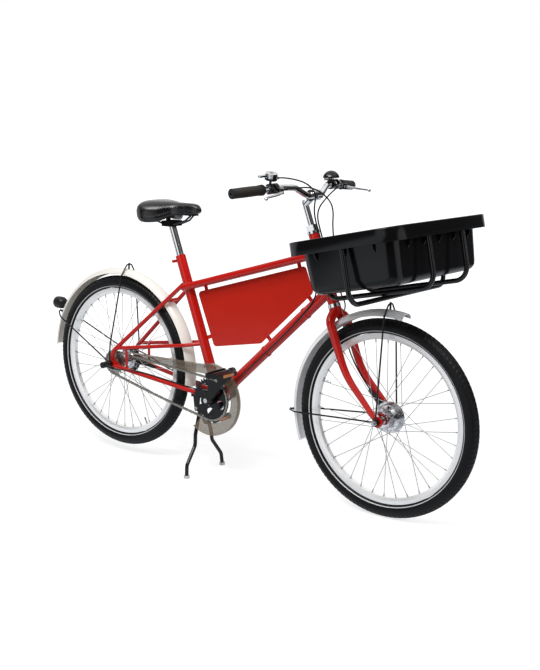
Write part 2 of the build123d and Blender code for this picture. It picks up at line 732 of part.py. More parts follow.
def crank_arm(side):
    """Return one crank arm, tapered from its boss to the pedal eye."""
    inner = side * CRANK_INNER_Y
    outer = side * (CRANK_INNER_Y + CRANK_THICK)
    low = min(inner, outer)
    eye = crank_point(side, 0)
    along = (eye - BRACKET).normalized()
    square = Vector(along.Z, 0, -along.X)
    wide, slim = CRANK_BOSS_RADIUS * 0.72, CRANK_END_RADIUS * 0.8
    corners = [BRACKET - square * wide, eye - square * slim, eye + square * slim, BRACKET + square * wide]
    blade = side_plate([(p.X, p.Z) for p in corners], low, CRANK_THICK)
    boss_start = -CHAIN_LINE if side < 0 else CRANK_INNER_Y - CRANK_THICK / 2
    boss = rod(BRACKET + SIDEWAYS * boss_start, BRACKET + SIDEWAYS * outer, CRANK_BOSS_RADIUS)
    end = rod(eye + SIDEWAYS * inner, eye + SIDEWAYS * outer, CRANK_END_RADIUS)
    bore = rod(BRACKET - SIDEWAYS * abs(outer), BRACKET + SIDEWAYS * abs(outer), CRANK_AXLE_RADIUS)
    hole = rod(eye + SIDEWAYS * (inner - side), eye + SIDEWAYS * (outer + side), SPINDLE_RADIUS)
    return trim(join(blade, boss, end), bore, hole)


def crank_axle():
    """Return the axle that runs through the bracket shell and both crank arms."""
    reach = SIDEWAYS * (CRANK_INNER_Y + CRANK_THICK)
    return rod(BRACKET - reach, BRACKET + reach, CRANK_AXLE_RADIUS)


def pedal_spindle(side):
    """Return the spindle screwed into a crank arm's eye."""
    start = crank_point(side, CRANK_INNER_Y)
    stop = crank_point(side, CRANK_INNER_Y + CRANK_THICK + PEDAL_GAP + PEDAL_LENGTH - PEDAL_BAR / 2)
    return rod(start, stop, SPINDLE_RADIUS)


def pedal(side):
    """Return a pedal: a barrel on the spindle, two tread bars and two end plates."""
    near = CRANK_INNER_Y + CRANK_THICK + PEDAL_GAP
    far = near + PEDAL_LENGTH
    centre = crank_point(side, 0)
    half_depth = PEDAL_DEPTH / 2
    half_height = PEDAL_HEIGHT / 2
    bars = []
    for end in SIDES:
        edge = centre.X + end * half_depth
        inner_edge = edge - end * PEDAL_BAR
        bars.append(((inner_edge, centre.Z - half_height), (edge, centre.Z - half_height * 0.6),
                     (edge, centre.Z + half_height * 0.6), (inner_edge, centre.Z + half_height)))
    low_y = min(side * near, side * far)
    solids = [side_plate(outline, low_y, PEDAL_LENGTH) for outline in bars]
    thin = PEDAL_HEIGHT * 0.3
    frame = [(centre.X - half_depth * 0.9, centre.Z - thin), (centre.X + half_depth * 0.9, centre.Z - thin),
             (centre.X + half_depth * 0.9, centre.Z + thin), (centre.X - half_depth * 0.9, centre.Z + thin)]
    for y in (low_y, low_y + PEDAL_LENGTH - PEDAL_BAR / 2):
        solids.append(side_plate(frame, y, PEDAL_BAR / 2))
    barrel = rod(crank_point(side, near), crank_point(side, far), PEDAL_BARREL_RADIUS)
    bore = rod(crank_point(side, near - 1), crank_point(side, far - PEDAL_BAR / 2 + RUN_CLEAR),
               SPINDLE_RADIUS + RUN_CLEAR)
    return trim(join(barrel, *solids), bore)


def chain_guard():
    """Return the guard: a strip over the upper run, a collar round the chainring and a rim."""
    low_y = GUARD_INNER_Y - GUARD_SHEET
    plane = Plane((0, GUARD_INNER_Y, 0), x_dir=(1, 0, 0), z_dir=(0, -1, 0))
    centre = (BRACKET.X, BRACKET.Z)
    reach = GUARD_RADIUS * 2
    end = radians(GUARD_SWEEP_END)
    sector = make_face(Polyline(centre, (centre[0], centre[1] + reach),
                                (centre[0] + reach, centre[1] + reach),
                                (centre[0] + reach, centre[1] - reach), (centre[0], centre[1] - reach),
                                (centre[0] + reach * cos(end), centre[1] + reach * sin(end)), close=True))

    def ring(outer, inner):
        return (Pos(*centre) * Circle(outer) - Pos(*centre) * Circle(inner)) & sector

    rear = REAR_AXLE.X + GUARD_REAR_AHEAD
    top = REAR_AXLE.Z + GUARD_TOP_RISE
    bottom = top - GUARD_STRIP_HEIGHT
    crest = centre[1] + GUARD_RADIUS
    brow = BRACKET.X + CRANK_BOSS_RADIUS
    inner_top = centre[1] + GUARD_INNER_RADIUS
    strip = make_face(Polyline((rear, bottom), (rear, top), (BRACKET.X - GUARD_INNER_RADIUS / 2, top + 4),
                               (BRACKET.X, crest), (brow, inner_top + GUARD_STRIP_HEIGHT),
                               (BRACKET.X, inner_top), close=True))
    web = extrude(plane * (ring(GUARD_RADIUS, GUARD_INNER_RADIUS) + strip), amount=GUARD_SHEET).solid()
    edge = ring(GUARD_RADIUS, GUARD_RADIUS - GUARD_SHEET)
    rim_ring = extrude(plane * edge, amount=GUARD_RIM_DEPTH).solid()
    corner = BRACKET.X - GUARD_INNER_RADIUS / 2
    lid = side_plate([(rear, top - GUARD_SHEET), (rear, top), (corner, top + 4),
                      (corner, top + 4 - GUARD_SHEET)],
                     GUARD_INNER_Y - GUARD_RIM_DEPTH, GUARD_RIM_DEPTH)
    brow_lid = side_plate([(corner, top + 4 - GUARD_SHEET), (corner, top + 4), (BRACKET.X, crest),
                           (BRACKET.X, crest - GUARD_SHEET)],
                          GUARD_INNER_Y - GUARD_RIM_DEPTH, GUARD_RIM_DEPTH)
    clip_spot = BRACKET + SEAT_UP * (crest - centre[1] - GUARD_STRIP_HEIGHT / 2)
    clip_end = Vector(clip_spot.X, low_y, clip_spot.Z)
    clip = rod(Vector(clip_spot.X, -SEAT_TUBE_RADIUS / 2, clip_spot.Z), clip_end, GUARD_CLIP_RADIUS)
    clip = trim(clip, rod(BRACKET, SEAT_TOP, SEAT_TUBE_RADIUS + SEAT_GAP / 2))
    return join(web, rim_ring, lid, brow_lid, clip)


# Main frame


def bracket_shell(radius, extra=0.0):
    """Return a solid cylinder on the bracket shell's axis, with extra length at both ends."""
    half = SIDEWAYS * (BRACKET_SHELL_WIDTH / 2 + extra)
    return rod(BRACKET - half, BRACKET + half, radius)


def top_tube_line(side):
    """Return the two ends of a top tube, which lies beside the seat tube and the head tube."""
    rear = TOP_TUBE_REAR + SIDEWAYS * side * TOP_TUBE_REAR_SPREAD
    front = TOP_TUBE_FRONT + SIDEWAYS * side * TOP_TUBE_FRONT_SPREAD
    run = (front - rear).normalized()
    return rear - run * TOP_TUBE_PAST_HEAD, front + run * TOP_TUBE_PAST_HEAD


def panel_corners():
    """Return the sign panel's corners, kept clear of the tubes round it."""
    rear, front = top_tube_line(1)
    slope = (front.Z - rear.Z) / (front.X - rear.X)
    tube_drop = TOP_TUBE_RADIUS / cos(atan2(front.Z - rear.Z, front.X - rear.X))
    seat_gap = (SEAT_TUBE_RADIUS + PANEL_SEAT_GAP) / sin(radians(SEAT_ANGLE))
    lean = 1 / tan(radians(SEAT_ANGLE))

    def under_top(x):
        return rear.Z + slope * (x - rear.X) - tube_drop - PANEL_GAP

    def before_seat(z):
        return BRACKET.X - (z - BRACKET.Z) * lean + seat_gap

    run = DOWN_TUBE_END - BRACKET
    rise = run.Z / run.X
    tube_lift = (DOWN_TUBE_RADIUS + PANEL_GAP) / cos(atan2(run.Z, run.X))

    def over_down(x):
        return BRACKET.Z + (x - BRACKET.X) * rise + tube_lift

    low_rear_z = REAR_AXLE.Z + PANEL_BASE_REAR_RISE
    top_rear_x = before_seat(REAR_AXLE.Z + PANEL_BASE_REAR_RISE * 2.7)
    front_x = REAR_AXLE.X + PANEL_FRONT_AHEAD
    low_x = REAR_AXLE.X + PANEL_FRONT_LOW_AHEAD
    base_x = REAR_AXLE.X + PANEL_BASE_AHEAD
    return [(top_rear_x, under_top(top_rear_x)), (front_x, under_top(front_x)), (low_x, over_down(low_x)),
            (base_x, over_down(base_x)), (before_seat(low_rear_z) + PANEL_GAP / 2, low_rear_z)]


def panel_bolt_spots():
    """Return the bolt places, each with the point on its tube that the tab starts from."""
    corners = panel_corners()
    rear_top, front_top, front_low, base_front, base_rear = [Vector(x, 0, z) for x, z in corners]
    top_run = (front_top - rear_top).normalized()
    down_run = (front_low - base_front).normalized()
    up_from_top = Vector(-top_run.Z, 0, top_run.X)
    down_from_edge = Vector(down_run.Z, 0, -down_run.X)
    tube_side = PANEL_GAP + TOP_TUBE_RADIUS
    spots = []
    for edge in (rear_top + top_run * TAB_REACH * 3, front_top - top_run * TAB_REACH * 2):
        spots.append((edge - up_from_top * TAB_REACH, edge + up_from_top * tube_side))
    for edge in (base_front + down_run * TAB_REACH * 3, front_low - down_run * TAB_REACH * 2):
        inside = edge + down_from_edge * (PANEL_GAP + DOWN_TUBE_RADIUS)
        spots.append((edge - down_from_edge * TAB_REACH, inside))
    seat_edge = base_rear + (rear_top - base_rear).normalized() * TAB_REACH * 3
    back = Vector(-SEAT_UP.Z, 0, SEAT_UP.X)
    inside = seat_edge + back * (PANEL_SEAT_GAP + PANEL_GAP + SEAT_TUBE_RADIUS)
    spots.append((seat_edge - back * TAB_REACH, inside))
    return spots


def panel_tab(bolt, root):
    """Return a flat tab from a tube's middle to just past a panel bolt, behind the panel."""
    along = (bolt - root).normalized()
    square = Vector(along.Z, 0, -along.X) * TAB_WIDTH / 2
    end = bolt + along * TAB_WIDTH / 2
    corners = [root - square, end - square, end + square, root + square]
    plate = side_plate([(p.X, p.Z) for p in corners], PANEL_THICK / 2 + SEAT_GAP / 2, TAB_THICK)
    hole = rod(bolt - SIDEWAYS * TAB_WIDTH, bolt + SIDEWAYS * TAB_WIDTH, PANEL_BOLT_RADIUS)
    return trim(plate, hole)


def carrier_bosses():
    """Return the places of the four carrier bosses on the head tube's sides, upper pair first."""
    upper = HEAD_TOP - STEER_UP * CARRIER_UPPER_BOSS_DROP
    lower = HEAD_BOTTOM + STEER_UP * CARRIER_LOWER_BOSS_RISE
    return upper, lower


def main_frame():
    """Return the welded tubes of the main frame as separate solids that abut."""
    head_full = rod(HEAD_BOTTOM, HEAD_TOP, HEAD_TUBE_RADIUS)
    seat_full = rod(BRACKET, SEAT_TOP, SEAT_TUBE_RADIUS)
    shell_full = bracket_shell(BRACKET_SHELL_RADIUS)
    down_full = rod(BRACKET, DOWN_TUBE_END, DOWN_TUBE_RADIUS)
    head = trim(head_full, rod(HEAD_BOTTOM, HEAD_TOP, HEAD_TUBE_RADIUS - HEAD_TUBE_WALL))
    seat = trim(seat_full, rod(BRACKET, SEAT_TOP, SEAT_POST_RADIUS + RUN_CLEAR), shell_full)
    shell = trim(shell_full, bracket_shell(BRACKET_SHELL_RADIUS - BRACKET_CUP_FLANGE))
    down = trim(pipe(BRACKET, DOWN_TUBE_END, DOWN_TUBE_RADIUS, TUBE_WALL), shell_full, head_full, seat_full)
    tubes = [head, seat, shell, down]
    full_tops = []
    for side in SIDES:
        start, end = top_tube_line(side)
        full_tops.append(rod(start, end, TOP_TUBE_RADIUS))
        tubes.append(trim(pipe(start, end, TOP_TUBE_RADIUS, TUBE_WALL), head_full, seat_full))
    for number, (bolt, root) in enumerate(panel_bolt_spots()):
        if number < 2:
            cross = rod(Vector(root.X, -TOP_TUBE_REAR_SPREAD, root.Z),
                        Vector(root.X, TOP_TUBE_REAR_SPREAD, root.Z),
                        STRUT_RADIUS)
            bar = trim(cross, *full_tops)
            tubes.append(join(bar, trim(panel_tab(bolt, root), *full_tops)))
        else:
            tubes.append(trim(panel_tab(bolt, root), down_full, seat_full))
    for spot in carrier_bosses():
        for side in SIDES:
            boss = rod(spot, spot + SIDEWAYS * side * BOSS_REACH, BOSS_RADIUS)
            tubes.append(trim(boss, head_full, *full_tops))
    return tubes


def seat_stay_line(side):
    """Return the bend points of a seat stay, from the seat tube down to the dropout."""
    lean = SEAT_STAY_TOP_RISE / sin(radians(SEAT_ANGLE))
    top = BRACKET + SEAT_UP * lean + SIDEWAYS * side * SEAT_STAY_TOP_SPREAD
    foot = REAR_AXLE + Vector(SEAT_STAY_FOOT_AHEAD, side * STAY_SPREAD, SEAT_STAY_FOOT_RISE)
    end = REAR_AXLE + Vector(SEAT_STAY_FOOT_AHEAD / 4, side * STAY_SPREAD, DROPOUT_TOP * 0.6)
    return top, foot, end


def mid_stay_line(side):
    """Return the bend points of a middle stay, from the seat stay forward to the seat tube."""
    rear = REAR_AXLE + Vector(MID_STAY_REAR_AHEAD, side * STAY_SPREAD, MID_STAY_REAR_RISE)
    front = BRACKET + SEAT_UP * (MID_STAY_SEAT_RISE / sin(radians(SEAT_ANGLE)))
    share = (MID_STAY_BEND_AHEAD - MID_STAY_REAR_AHEAD) / (front.X - rear.X)
    height = rear.Z + (front.Z - rear.Z) * share
    bend = Vector(REAR_AXLE.X + MID_STAY_BEND_AHEAD, side * MID_STAY_BEND_SPREAD, height)
    return rear, bend, front + SIDEWAYS * side * MID_STAY_RADIUS


def chain_stay_line(side):
    """Return the two ends of a chain stay, from the dropout to the bracket shell."""
    rear = REAR_AXLE + Vector(CHAIN_STAY_REAR_AHEAD, side * STAY_SPREAD, -CHAIN_STAY_REAR_DROP)
    return rear, BRACKET + SIDEWAYS * side * CHAIN_STAY_FRONT_SPREAD


def dropout(side):
    """Return a dropout plate with its axle hole."""
    x, z = REAR_AXLE.X, REAR_AXLE.Z
    outline = [(x - DROPOUT_BACK, z - DROPOUT_BACK), (x - DROPOUT_BACK, z + DROPOUT_BACK),
               (x - DROPOUT_BACK / 2, z + DROPOUT_TOP), (x + DROPOUT_BACK, z + DROPOUT_TOP),
               (x + DROPOUT_BACK * 1.6, z + DROPOUT_BACK), (x + DROPOUT_REACH, z + DROPOUT_BACK * 0.4),
               (x + DROPOUT_REACH, z - DROPOUT_BACK * 1.4)]
    low = REAR_ENDS / 2 if side > 0 else -REAR_ENDS / 2 - DROPOUT_THICK
    plate = side_plate(outline, low, DROPOUT_THICK)
    reach = SIDEWAYS * (REAR_ENDS / 2 + 2 * DROPOUT_THICK)
    return trim(plate, rod(REAR_AXLE - reach, REAR_AXLE + reach, AXLE_RADIUS + RUN_CLEAR))


def rear_triangle():
    """Return the stays, struts, dropouts and bridges as separate solids that abut."""
    seat_full = rod(BRACKET, SEAT_TOP, SEAT_TUBE_RADIUS)
    shell_full = bracket_shell(BRACKET_SHELL_RADIUS, CHAIN_STAY_RADIUS)
    solids = []
    for side in SIDES:
        plate = dropout(side)
        top_full = rod(*top_tube_line(side), TOP_TUBE_RADIUS)
        top, foot, end = seat_stay_line(side)
        stay_full = bent([top, foot, end], STAY_SPREAD / 2, SEAT_STAY_RADIUS)
        mid_full = bent(mid_stay_line(side), MID_STAY_BEND_RADIUS, MID_STAY_RADIUS)
        chain_full = rod(*chain_stay_line(side), CHAIN_STAY_RADIUS)
        seat_stay = trim(bent([top, foot, end], STAY_SPREAD / 2, SEAT_STAY_RADIUS, TUBE_WALL),
                         seat_full, top_full,
                         plate)
        mid_stay = trim(bent(mid_stay_line(side), MID_STAY_BEND_RADIUS, MID_STAY_RADIUS, TUBE_WALL),
                        seat_full,
                        stay_full)
        chain_stay = trim(pipe(*chain_stay_line(side), CHAIN_STAY_RADIUS, TUBE_WALL),
                          shell_full, seat_full, plate)
        strut = trim(strut_line(side), mid_full, chain_full)
        solids += [plate, seat_stay, mid_stay, chain_stay, strut]
    return solids + [stay_bridge()]


def strut_line(side):
    """Return the upright strut between a middle stay and a chain stay, before it is trimmed."""
    rear, bend, _ = mid_stay_line(side)
    mid_spot = rear + (bend - rear) * ((STRUT_AHEAD - MID_STAY_REAR_AHEAD) / (bend.X - rear.X))
    back, front = chain_stay_line(side)
    low_spot = back + (front - back) * ((STRUT_AHEAD - CHAIN_STAY_REAR_AHEAD) / (front.X - back.X))
    return rod(low_spot, mid_spot, STRUT_RADIUS)


def stay_bridge():
    """Return the bridge between the seat stays, which holds the rear mudguard's crown."""
    top, foot, _ = seat_stay_line(1)
    target = GUARD_CROWN + BRIDGE_RADIUS + SEAT_GAP
    low, high = 0.0, 1.0
    for _ in range(40):
        share = (low + high) / 2
        spot = foot + (top - foot) * share
        if hypot(spot.X - REAR_AXLE.X, spot.Z - REAR_AXLE.Z) < target:
            low = share
        else:
            high = share
    bar = rod(Vector(spot.X, -spot.Y, spot.Z), spot, BRIDGE_RADIUS)
    stays = [bent(seat_stay_line(side), STAY_SPREAD / 2, SEAT_STAY_RADIUS) for side in SIDES]
    return trim(bar, *stays)


def frame_panel():
    """Return the sign panel with rounded corners and its bolt holes."""
    corners = [(x, PANEL_THICK / 2, z) for x, z in panel_corners()]
    outline = FilletPolyline(*corners, radius=PANEL_CORNER, close=True)
    sheet = extrude(make_face(outline), amount=PANEL_THICK, dir=(0, -1, 0)).solid()
    holes = []
    for bolt, _ in panel_bolt_spots():
        holes.append(rod(bolt - SIDEWAYS * TAB_WIDTH, bolt + SIDEWAYS * TAB_WIDTH, PANEL_BOLT_RADIUS))
        holes.append(countersink(bolt - SIDEWAYS * PANEL_THICK / 2, BOLT_HEAD_RADIUS, PANEL_BOLT_RADIUS))
    return trim(sheet, *holes)


def countersink(spot, wide, narrow):
    """Return a square cone that starts wide on the right at a spot and narrows to the left."""
    return Solid.make_cone(wide, narrow, wide - narrow, Plane(spot, z_dir=SIDEWAYS))


def frame_bolts():
    """Return the panel bolts, with sunk heads on the right and nuts on the left, and the seat clamp bolt."""
    right = PANEL_THICK / 2 - BOLT_SUNK
    shank_radius = PANEL_BOLT_RADIUS - RUN_CLEAR
    left = PANEL_THICK / 2 + SEAT_GAP / 2 + TAB_THICK
    bolts = []
    for spot, _ in panel_bolt_spots():
        shank = rod(spot - SIDEWAYS * right, spot + SIDEWAYS * left, shank_radius)
        head = countersink(spot - SIDEWAYS * right, BOLT_HEAD_RADIUS - BOLT_SUNK - RUN_CLEAR, shank_radius)
        nut = rod(spot + SIDEWAYS * left, spot + SIDEWAYS * (left + BOLT_HEAD), BOLT_HEAD_RADIUS)
        bolts.append(join(shank, head, nut))
    back = Vector(-SEAT_UP.Z, 0, SEAT_UP.X)
    spot = SEAT_TOP - SEAT_UP * SEAT_POST_RADIUS + back * (SEAT_TUBE_RADIUS + BOLT_HEAD_RADIUS + SEAT_GAP)
    reach = SIDEWAYS * SEAT_TUBE_RADIUS * 0.8
    heads = [rod(spot + reach * side, spot + reach * side * 1.4, BOLT_HEAD_RADIUS) for side in SIDES]
    ears = rod(spot - reach, spot + reach, BOLT_HEAD_RADIUS)
    return bolts + [join(ears, *heads)]


def bearing_cups():
    """Return the headset cups round the steerer and the bracket cups round the crank axle."""
    bore = STEERER_RADIUS + RUN_CLEAR
    seat = HEAD_TUBE_RADIUS - HEAD_TUBE_WALL
    cups = []
    for face, out, length in ((HEAD_BOTTOM, STEER_UP * -1, LOWER_CUP), (HEAD_TOP, STEER_UP, UPPER_CUP)):
        rim_part = rod(face, face + out * length, CUP_RADIUS)
        sleeve = rod(face - out * length, face, seat)
        hole = rod(face - out * length * 2, face + out * length * 2, bore)
        cups.append(trim(join(rim_part, sleeve), hole))
    half = BRACKET_SHELL_WIDTH / 2
    for side in SIDES:
        flange = rod(BRACKET + SIDEWAYS * side * half,
                     BRACKET + SIDEWAYS * side * (half + BRACKET_CUP_FLANGE),
                     BRACKET_SHELL_RADIUS)
        sleeve = rod(BRACKET + SIDEWAYS * side * half * 0.6, BRACKET + SIDEWAYS * side * half,
                     BRACKET_SHELL_RADIUS - BRACKET_CUP_FLANGE)
        hole = rod(BRACKET, BRACKET + SIDEWAYS * side * half * 2, CRANK_AXLE_RADIUS + RUN_CLEAR)
        cups.append(trim(join(flange, sleeve), hole))
    return cups


# Tray and its carrier


def tray_plane():
    """Return the tilted frame of the tray, at the middle of its rear rim edge."""
    lean = radians(TRAY_TILT)
    origin = HEAD_TOP + Vector(TRAY_AHEAD_OF_HEAD, 0, -TRAY_BELOW_HEAD)
    return Plane(origin, x_dir=(cos(lean), 0, sin(lean)), z_dir=(-sin(lean), 0, cos(lean)))


def tray_point(along, across, depth):
    """Return a point in the tray's frame: along from the rear edge, across and down."""
    return tray_plane().from_local_coords(Vector(along, across, -depth))


def tray_block(depth_from, depth_to, inset, draft, corner):
    """Return a tapered block of the tray's plan, inset from the rim's outline."""
    plane = tray_plane()
    middle = TRAY_LENGTH / 2
    faces = []
    for depth, extra in ((depth_from, 0.0), (depth_to, draft)):
        face = RectangleRounded(TRAY_LENGTH - 2 * (inset + extra), TRAY_WIDTH - 2 * (inset + extra), corner)
        faces.append(plane * Pos(middle, 0, -depth) * face)
    return loft(faces).solid()


def tray():
    """Return the load tray: a tapered tub with an overhanging rim and ribs under it."""
    knee = TRAY_DEPTH - TRAY_FOOT_CHAMFER
    knee_draft = TRAY_DRAFT * knee / TRAY_DEPTH
    foot_draft = TRAY_FOOT_CHAMFER * 0.7
    rim_in = TRAY_RIM_WIDTH
    wall = TRAY_WALL
    tub = join(tray_block(0, knee, rim_in, knee_draft, TRAY_BODY_CORNER),
               tray_block(knee, TRAY_DEPTH, rim_in + knee_draft, foot_draft, TRAY_BODY_CORNER))
    rim_top = tray_block(0, wall, 0, 0, TRAY_CORNER)
    skirt = trim(tray_block(0, TRAY_RIM_HEIGHT, 0, 0, TRAY_CORNER),
                 tray_block(-1, TRAY_RIM_HEIGHT + 1, wall, 0, TRAY_CORNER - wall))
    ribs = []
    front = TRAY_LENGTH - rim_in
    rib_top = CARRIER_RING_DEPTH + CARRIER_RADIUS + 1
    for index in range(TRAY_RIBS):
        y = (index - (TRAY_RIBS - 1) / 2) * TRAY_WIDTH / (TRAY_RIBS + 1.5)
        corners = [tray_point(front - 2 * wall, 0, rib_top), tray_point(front + TRAY_RIB_DEPTH, 0, rib_top),
                   tray_point(front - 2 * wall, 0, TRAY_RIM_HEIGHT + TRAY_RIB_HEIGHT)]
        ribs.append(side_plate([(p.X, p.Z) for p in corners], y - TRAY_RIB_THICK / 2, TRAY_RIB_THICK))
    hollow = join(tray_block(-1, knee - wall, rim_in + wall, knee_draft, TRAY_BODY_CORNER - wall),
                  tray_block(knee - wall, TRAY_DEPTH - wall, rim_in + wall + knee_draft, foot_draft,
                             TRAY_BODY_CORNER - wall))
    return trim(join(tub, rim_top, skirt, *ribs), hollow)


def carrier_ring_points():
    """Return the carrier's half track under the rim: its insets from the tray's outline."""
    inset = TRAY_WALL + CARRIER_SKIRT_GAP + CARRIER_RADIUS
    return inset, TRAY_WIDTH / 2 - inset


def tray_carrier():
    """Return the carrier: a ring under the rim, a side hoop, two long hoops and four arms."""
    inset, half_wide = carrier_ring_points()
    ring_path = tray_plane() * Pos(TRAY_LENGTH / 2, 0, -CARRIER_RING_DEPTH) * RectangleRounded(
        TRAY_LENGTH - 2 * inset, TRAY_WIDTH - 2 * inset, TRAY_CORNER - inset / 2).wire()
    section = Plane(ring_path @ 0, z_dir=ring_path % 0)
    ring = sweep(section * Circle(CARRIER_RADIUS), path=ring_path).solid()
    ring_bore = sweep(section * Circle(CARRIER_RADIUS - TUBE_WALL), path=ring_path).solid()
    depth = CARRIER_HOOP_DEPTH
    low = depth + 2 * CARRIER_RADIUS
    ring_depth = CARRIER_RING_DEPTH
    side_places = ((-half_wide, ring_depth), (-half_wide, low), (half_wide, low), (half_wide, ring_depth))
    side_points = [tray_point(CARRIER_SIDE_AT, across, depth) for across, depth in side_places]
    side_hoop = bent(side_points, CARRIER_BEND, CARRIER_RADIUS)
    pieces = [trim(ring, ring_bore), trim(bent(side_points, CARRIER_BEND, CARRIER_RADIUS, TUBE_WALL), ring)]
    front = TRAY_LENGTH - inset
    upper, lower = carrier_bosses()
    for side in SIDES:
        y = side * CARRIER_HOOP_HALF
        points = [tray_point(a, y, d) for a, d in ((front, ring_depth), (front, depth), (inset, depth),
                                                   (inset, ring_depth))]
        hoop = bent(points, CARRIER_BEND, CARRIER_RADIUS)
        pieces.append(trim(bent(points, CARRIER_BEND, CARRIER_RADIUS, TUBE_WALL), ring, side_hoop))
        for boss, arm_depth in ((upper, CARRIER_UPPER_ARM_DEPTH), (lower, CARRIER_LOWER_ARM_DEPTH)):
            seat = boss + SIDEWAYS * side * BOSS_REACH
            pad = rod(seat, seat + SIDEWAYS * side * CARRIER_RADIUS, BOSS_RADIUS)
            elbow = seat + SIDEWAYS * side * CARRIER_RADIUS * 0.5
            arm = rod(elbow, tray_point(inset, y, arm_depth), CARRIER_ARM_RADIUS)
            outside = rod(boss, seat, BOSS_RADIUS * 2)
            pieces.append(trim(join(pad, arm), hoop, outside))
    return pieces


# Seat


def saddle_stations():
    """Return the saddle's sections from the tail: share of length, half width, height, drop and skirt."""
    wide, nose = SADDLE_HALF_WIDTH, SADDLE_NOSE_HALF
    return ((0.0, wide * 0.64, 0.66, 0.10, 0.30), (0.10, wide * 0.93, 0.92, 0.03, 0.80),
            (0.24, wide, 1.0, 0.0, 1.0), (0.42, wide * 0.76, 0.94, 0.0, 0.86),
            (0.58, nose * 1.8, 0.86, 0.0, 0.20), (0.76, nose * 1.25, 0.85, 0.0, 0.0),
            (0.92, nose, 0.80, 0.0, 0.0), (1.0, nose * 0.62, 0.42, 0.12, 0.0))


def saddle_base_height():
    """Return the height of the saddle's flat underside."""
    return SEAT_TOP.Z + POST_TOP_RISE * sin(radians(SEAT_ANGLE)) + RAIL_DROP + RAIL_RADIUS


def post_top():
    """Return the top of the seat post."""
    return SEAT_TOP + SEAT_UP * POST_TOP_RISE


def saddle_cushion():
    """Return the crowned cushion with side skirts, hollowed underneath for its base."""
    tail = post_top().X + SADDLE_NOSE_AHEAD - SADDLE_LENGTH
    base = saddle_base_height() + SADDLE_BASE_THICK
    sections = []
    for share, half, tall, drop, skirt in saddle_stations():
        top = base + SADDLE_HEIGHT * (drop + tall)
        floor = base + SADDLE_HEIGHT * drop - SADDLE_SKIRT * skirt
        height = top - floor
        foot, belly, shoulder = half * 0.90, half, half * 0.93
        middle, edge = floor + height * 0.36, floor + height * 0.70
        edges = [Line((-foot, floor), (foot, floor)),
                 ThreePointArc((foot, floor), (belly, middle), (shoulder, edge)),
                 ThreePointArc((shoulder, edge), (0, top), (-shoulder, edge)),
                 ThreePointArc((-shoulder, edge), (-belly, middle), (-foot, floor))]
        plane = Plane((tail + share * SADDLE_LENGTH, 0, 0), x_dir=(0, 1, 0), z_dir=(1, 0, 0))
        sections.append(plane * make_face(edges))
    pocket = saddle_outline(base - SADDLE_SKIRT - SADDLE_BASE_INSET, base, SEAT_GAP)
    return trim(loft(sections).solid(), pocket)


def saddle_outline(low, high, extra):
    """Return a block of the base plate's outline between two heights, made wider by an extra."""
    tail = post_top().X + SADDLE_NOSE_AHEAD - SADDLE_LENGTH
    right = []
    for share, half, *_ in saddle_stations()[1:-1]:
        right.append((tail + share * SADDLE_LENGTH, half * 0.90 - SADDLE_BASE_INSET + extra))
    right[0] = (right[0][0] - extra, right[0][1])
    right[-1] = (right[-1][0] + extra, right[-1][1])
    outline = [(x, -y) for x, y in right] + [(x, y) for x, y in reversed(right)]
    face = make_face(Polyline(*[(x, y, low) for x, y in outline], close=True))
    return extrude(face, amount=high - low, dir=(0, 0, 1)).solid()


def saddle_base():
    """Return the stiff base plate under the cushion."""
    base = saddle_base_height()
    return saddle_outline(base, base + SADDLE_BASE_THICK - SEAT_GAP, 0.0)


def saddle_rails():
    """Return the two rails that hang under the base and pass through the clamp."""
    clamp = post_top()
    base = saddle_base_height()
    low = base - RAIL_DROP
    tail = clamp.X - (SADDLE_LENGTH - SADDLE_NOSE_AHEAD)
    nose = clamp.X + SADDLE_NOSE_AHEAD
    rails = []
    for side in SIDES:
        near, wide = side * RAIL_HALF_GAP, side * RAIL_HALF_GAP * 1.9
        points = [Vector(nose - SADDLE_LENGTH * 0.16, side * RAIL_RADIUS * 2.4, base),
                  Vector(nose - SADDLE_LENGTH * 0.25, side * RAIL_RADIUS * 3.2, low + RAIL_DROP * 0.4),
                  Vector(clamp.X + RAIL_CLAMP_HALF + 12, near, low),
                  Vector(clamp.X - RAIL_CLAMP_HALF - 6, near, low),
                  Vector(tail + SADDLE_LENGTH * 0.21, wide, low + RAIL_DROP * 0.5),
                  Vector(tail + SADDLE_LENGTH * 0.15, wide, base)]
        rails.append(trim(bent(points, RAIL_RADIUS * 3, RAIL_RADIUS), saddle_base()))
    return rails


def saddle_clamp():
    """Return the clamp that grips the rails on the head of the post."""
    clamp = post_top()
    low = saddle_base_height() - RAIL_DROP
    half = CLAMP_BLOCK_LENGTH / 2
    wide = RAIL_HALF_GAP + 3 * RAIL_RADIUS
    block = Solid.make_box(CLAMP_BLOCK_LENGTH, 2 * wide, CLAMP_BLOCK_HEIGHT,
                           Plane((clamp.X - half, -wide, low - CLAMP_BLOCK_HEIGHT / 2)))
    bolt = rod(Vector(clamp.X, -wide - BOLT_HEAD, low), Vector(clamp.X, wide + BOLT_HEAD, low),
               BOLT_HEAD_RADIUS)
    grooves = [rod(Vector(clamp.X - half * 2, side * RAIL_HALF_GAP, low),
                   Vector(clamp.X + half * 2, side * RAIL_HALF_GAP, low), RAIL_RADIUS) for side in SIDES]
    post = rod(clamp - SEAT_UP * POST_TOP_RISE, clamp, SEAT_POST_RADIUS)
    return trim(join(block, bolt), post, *grooves)


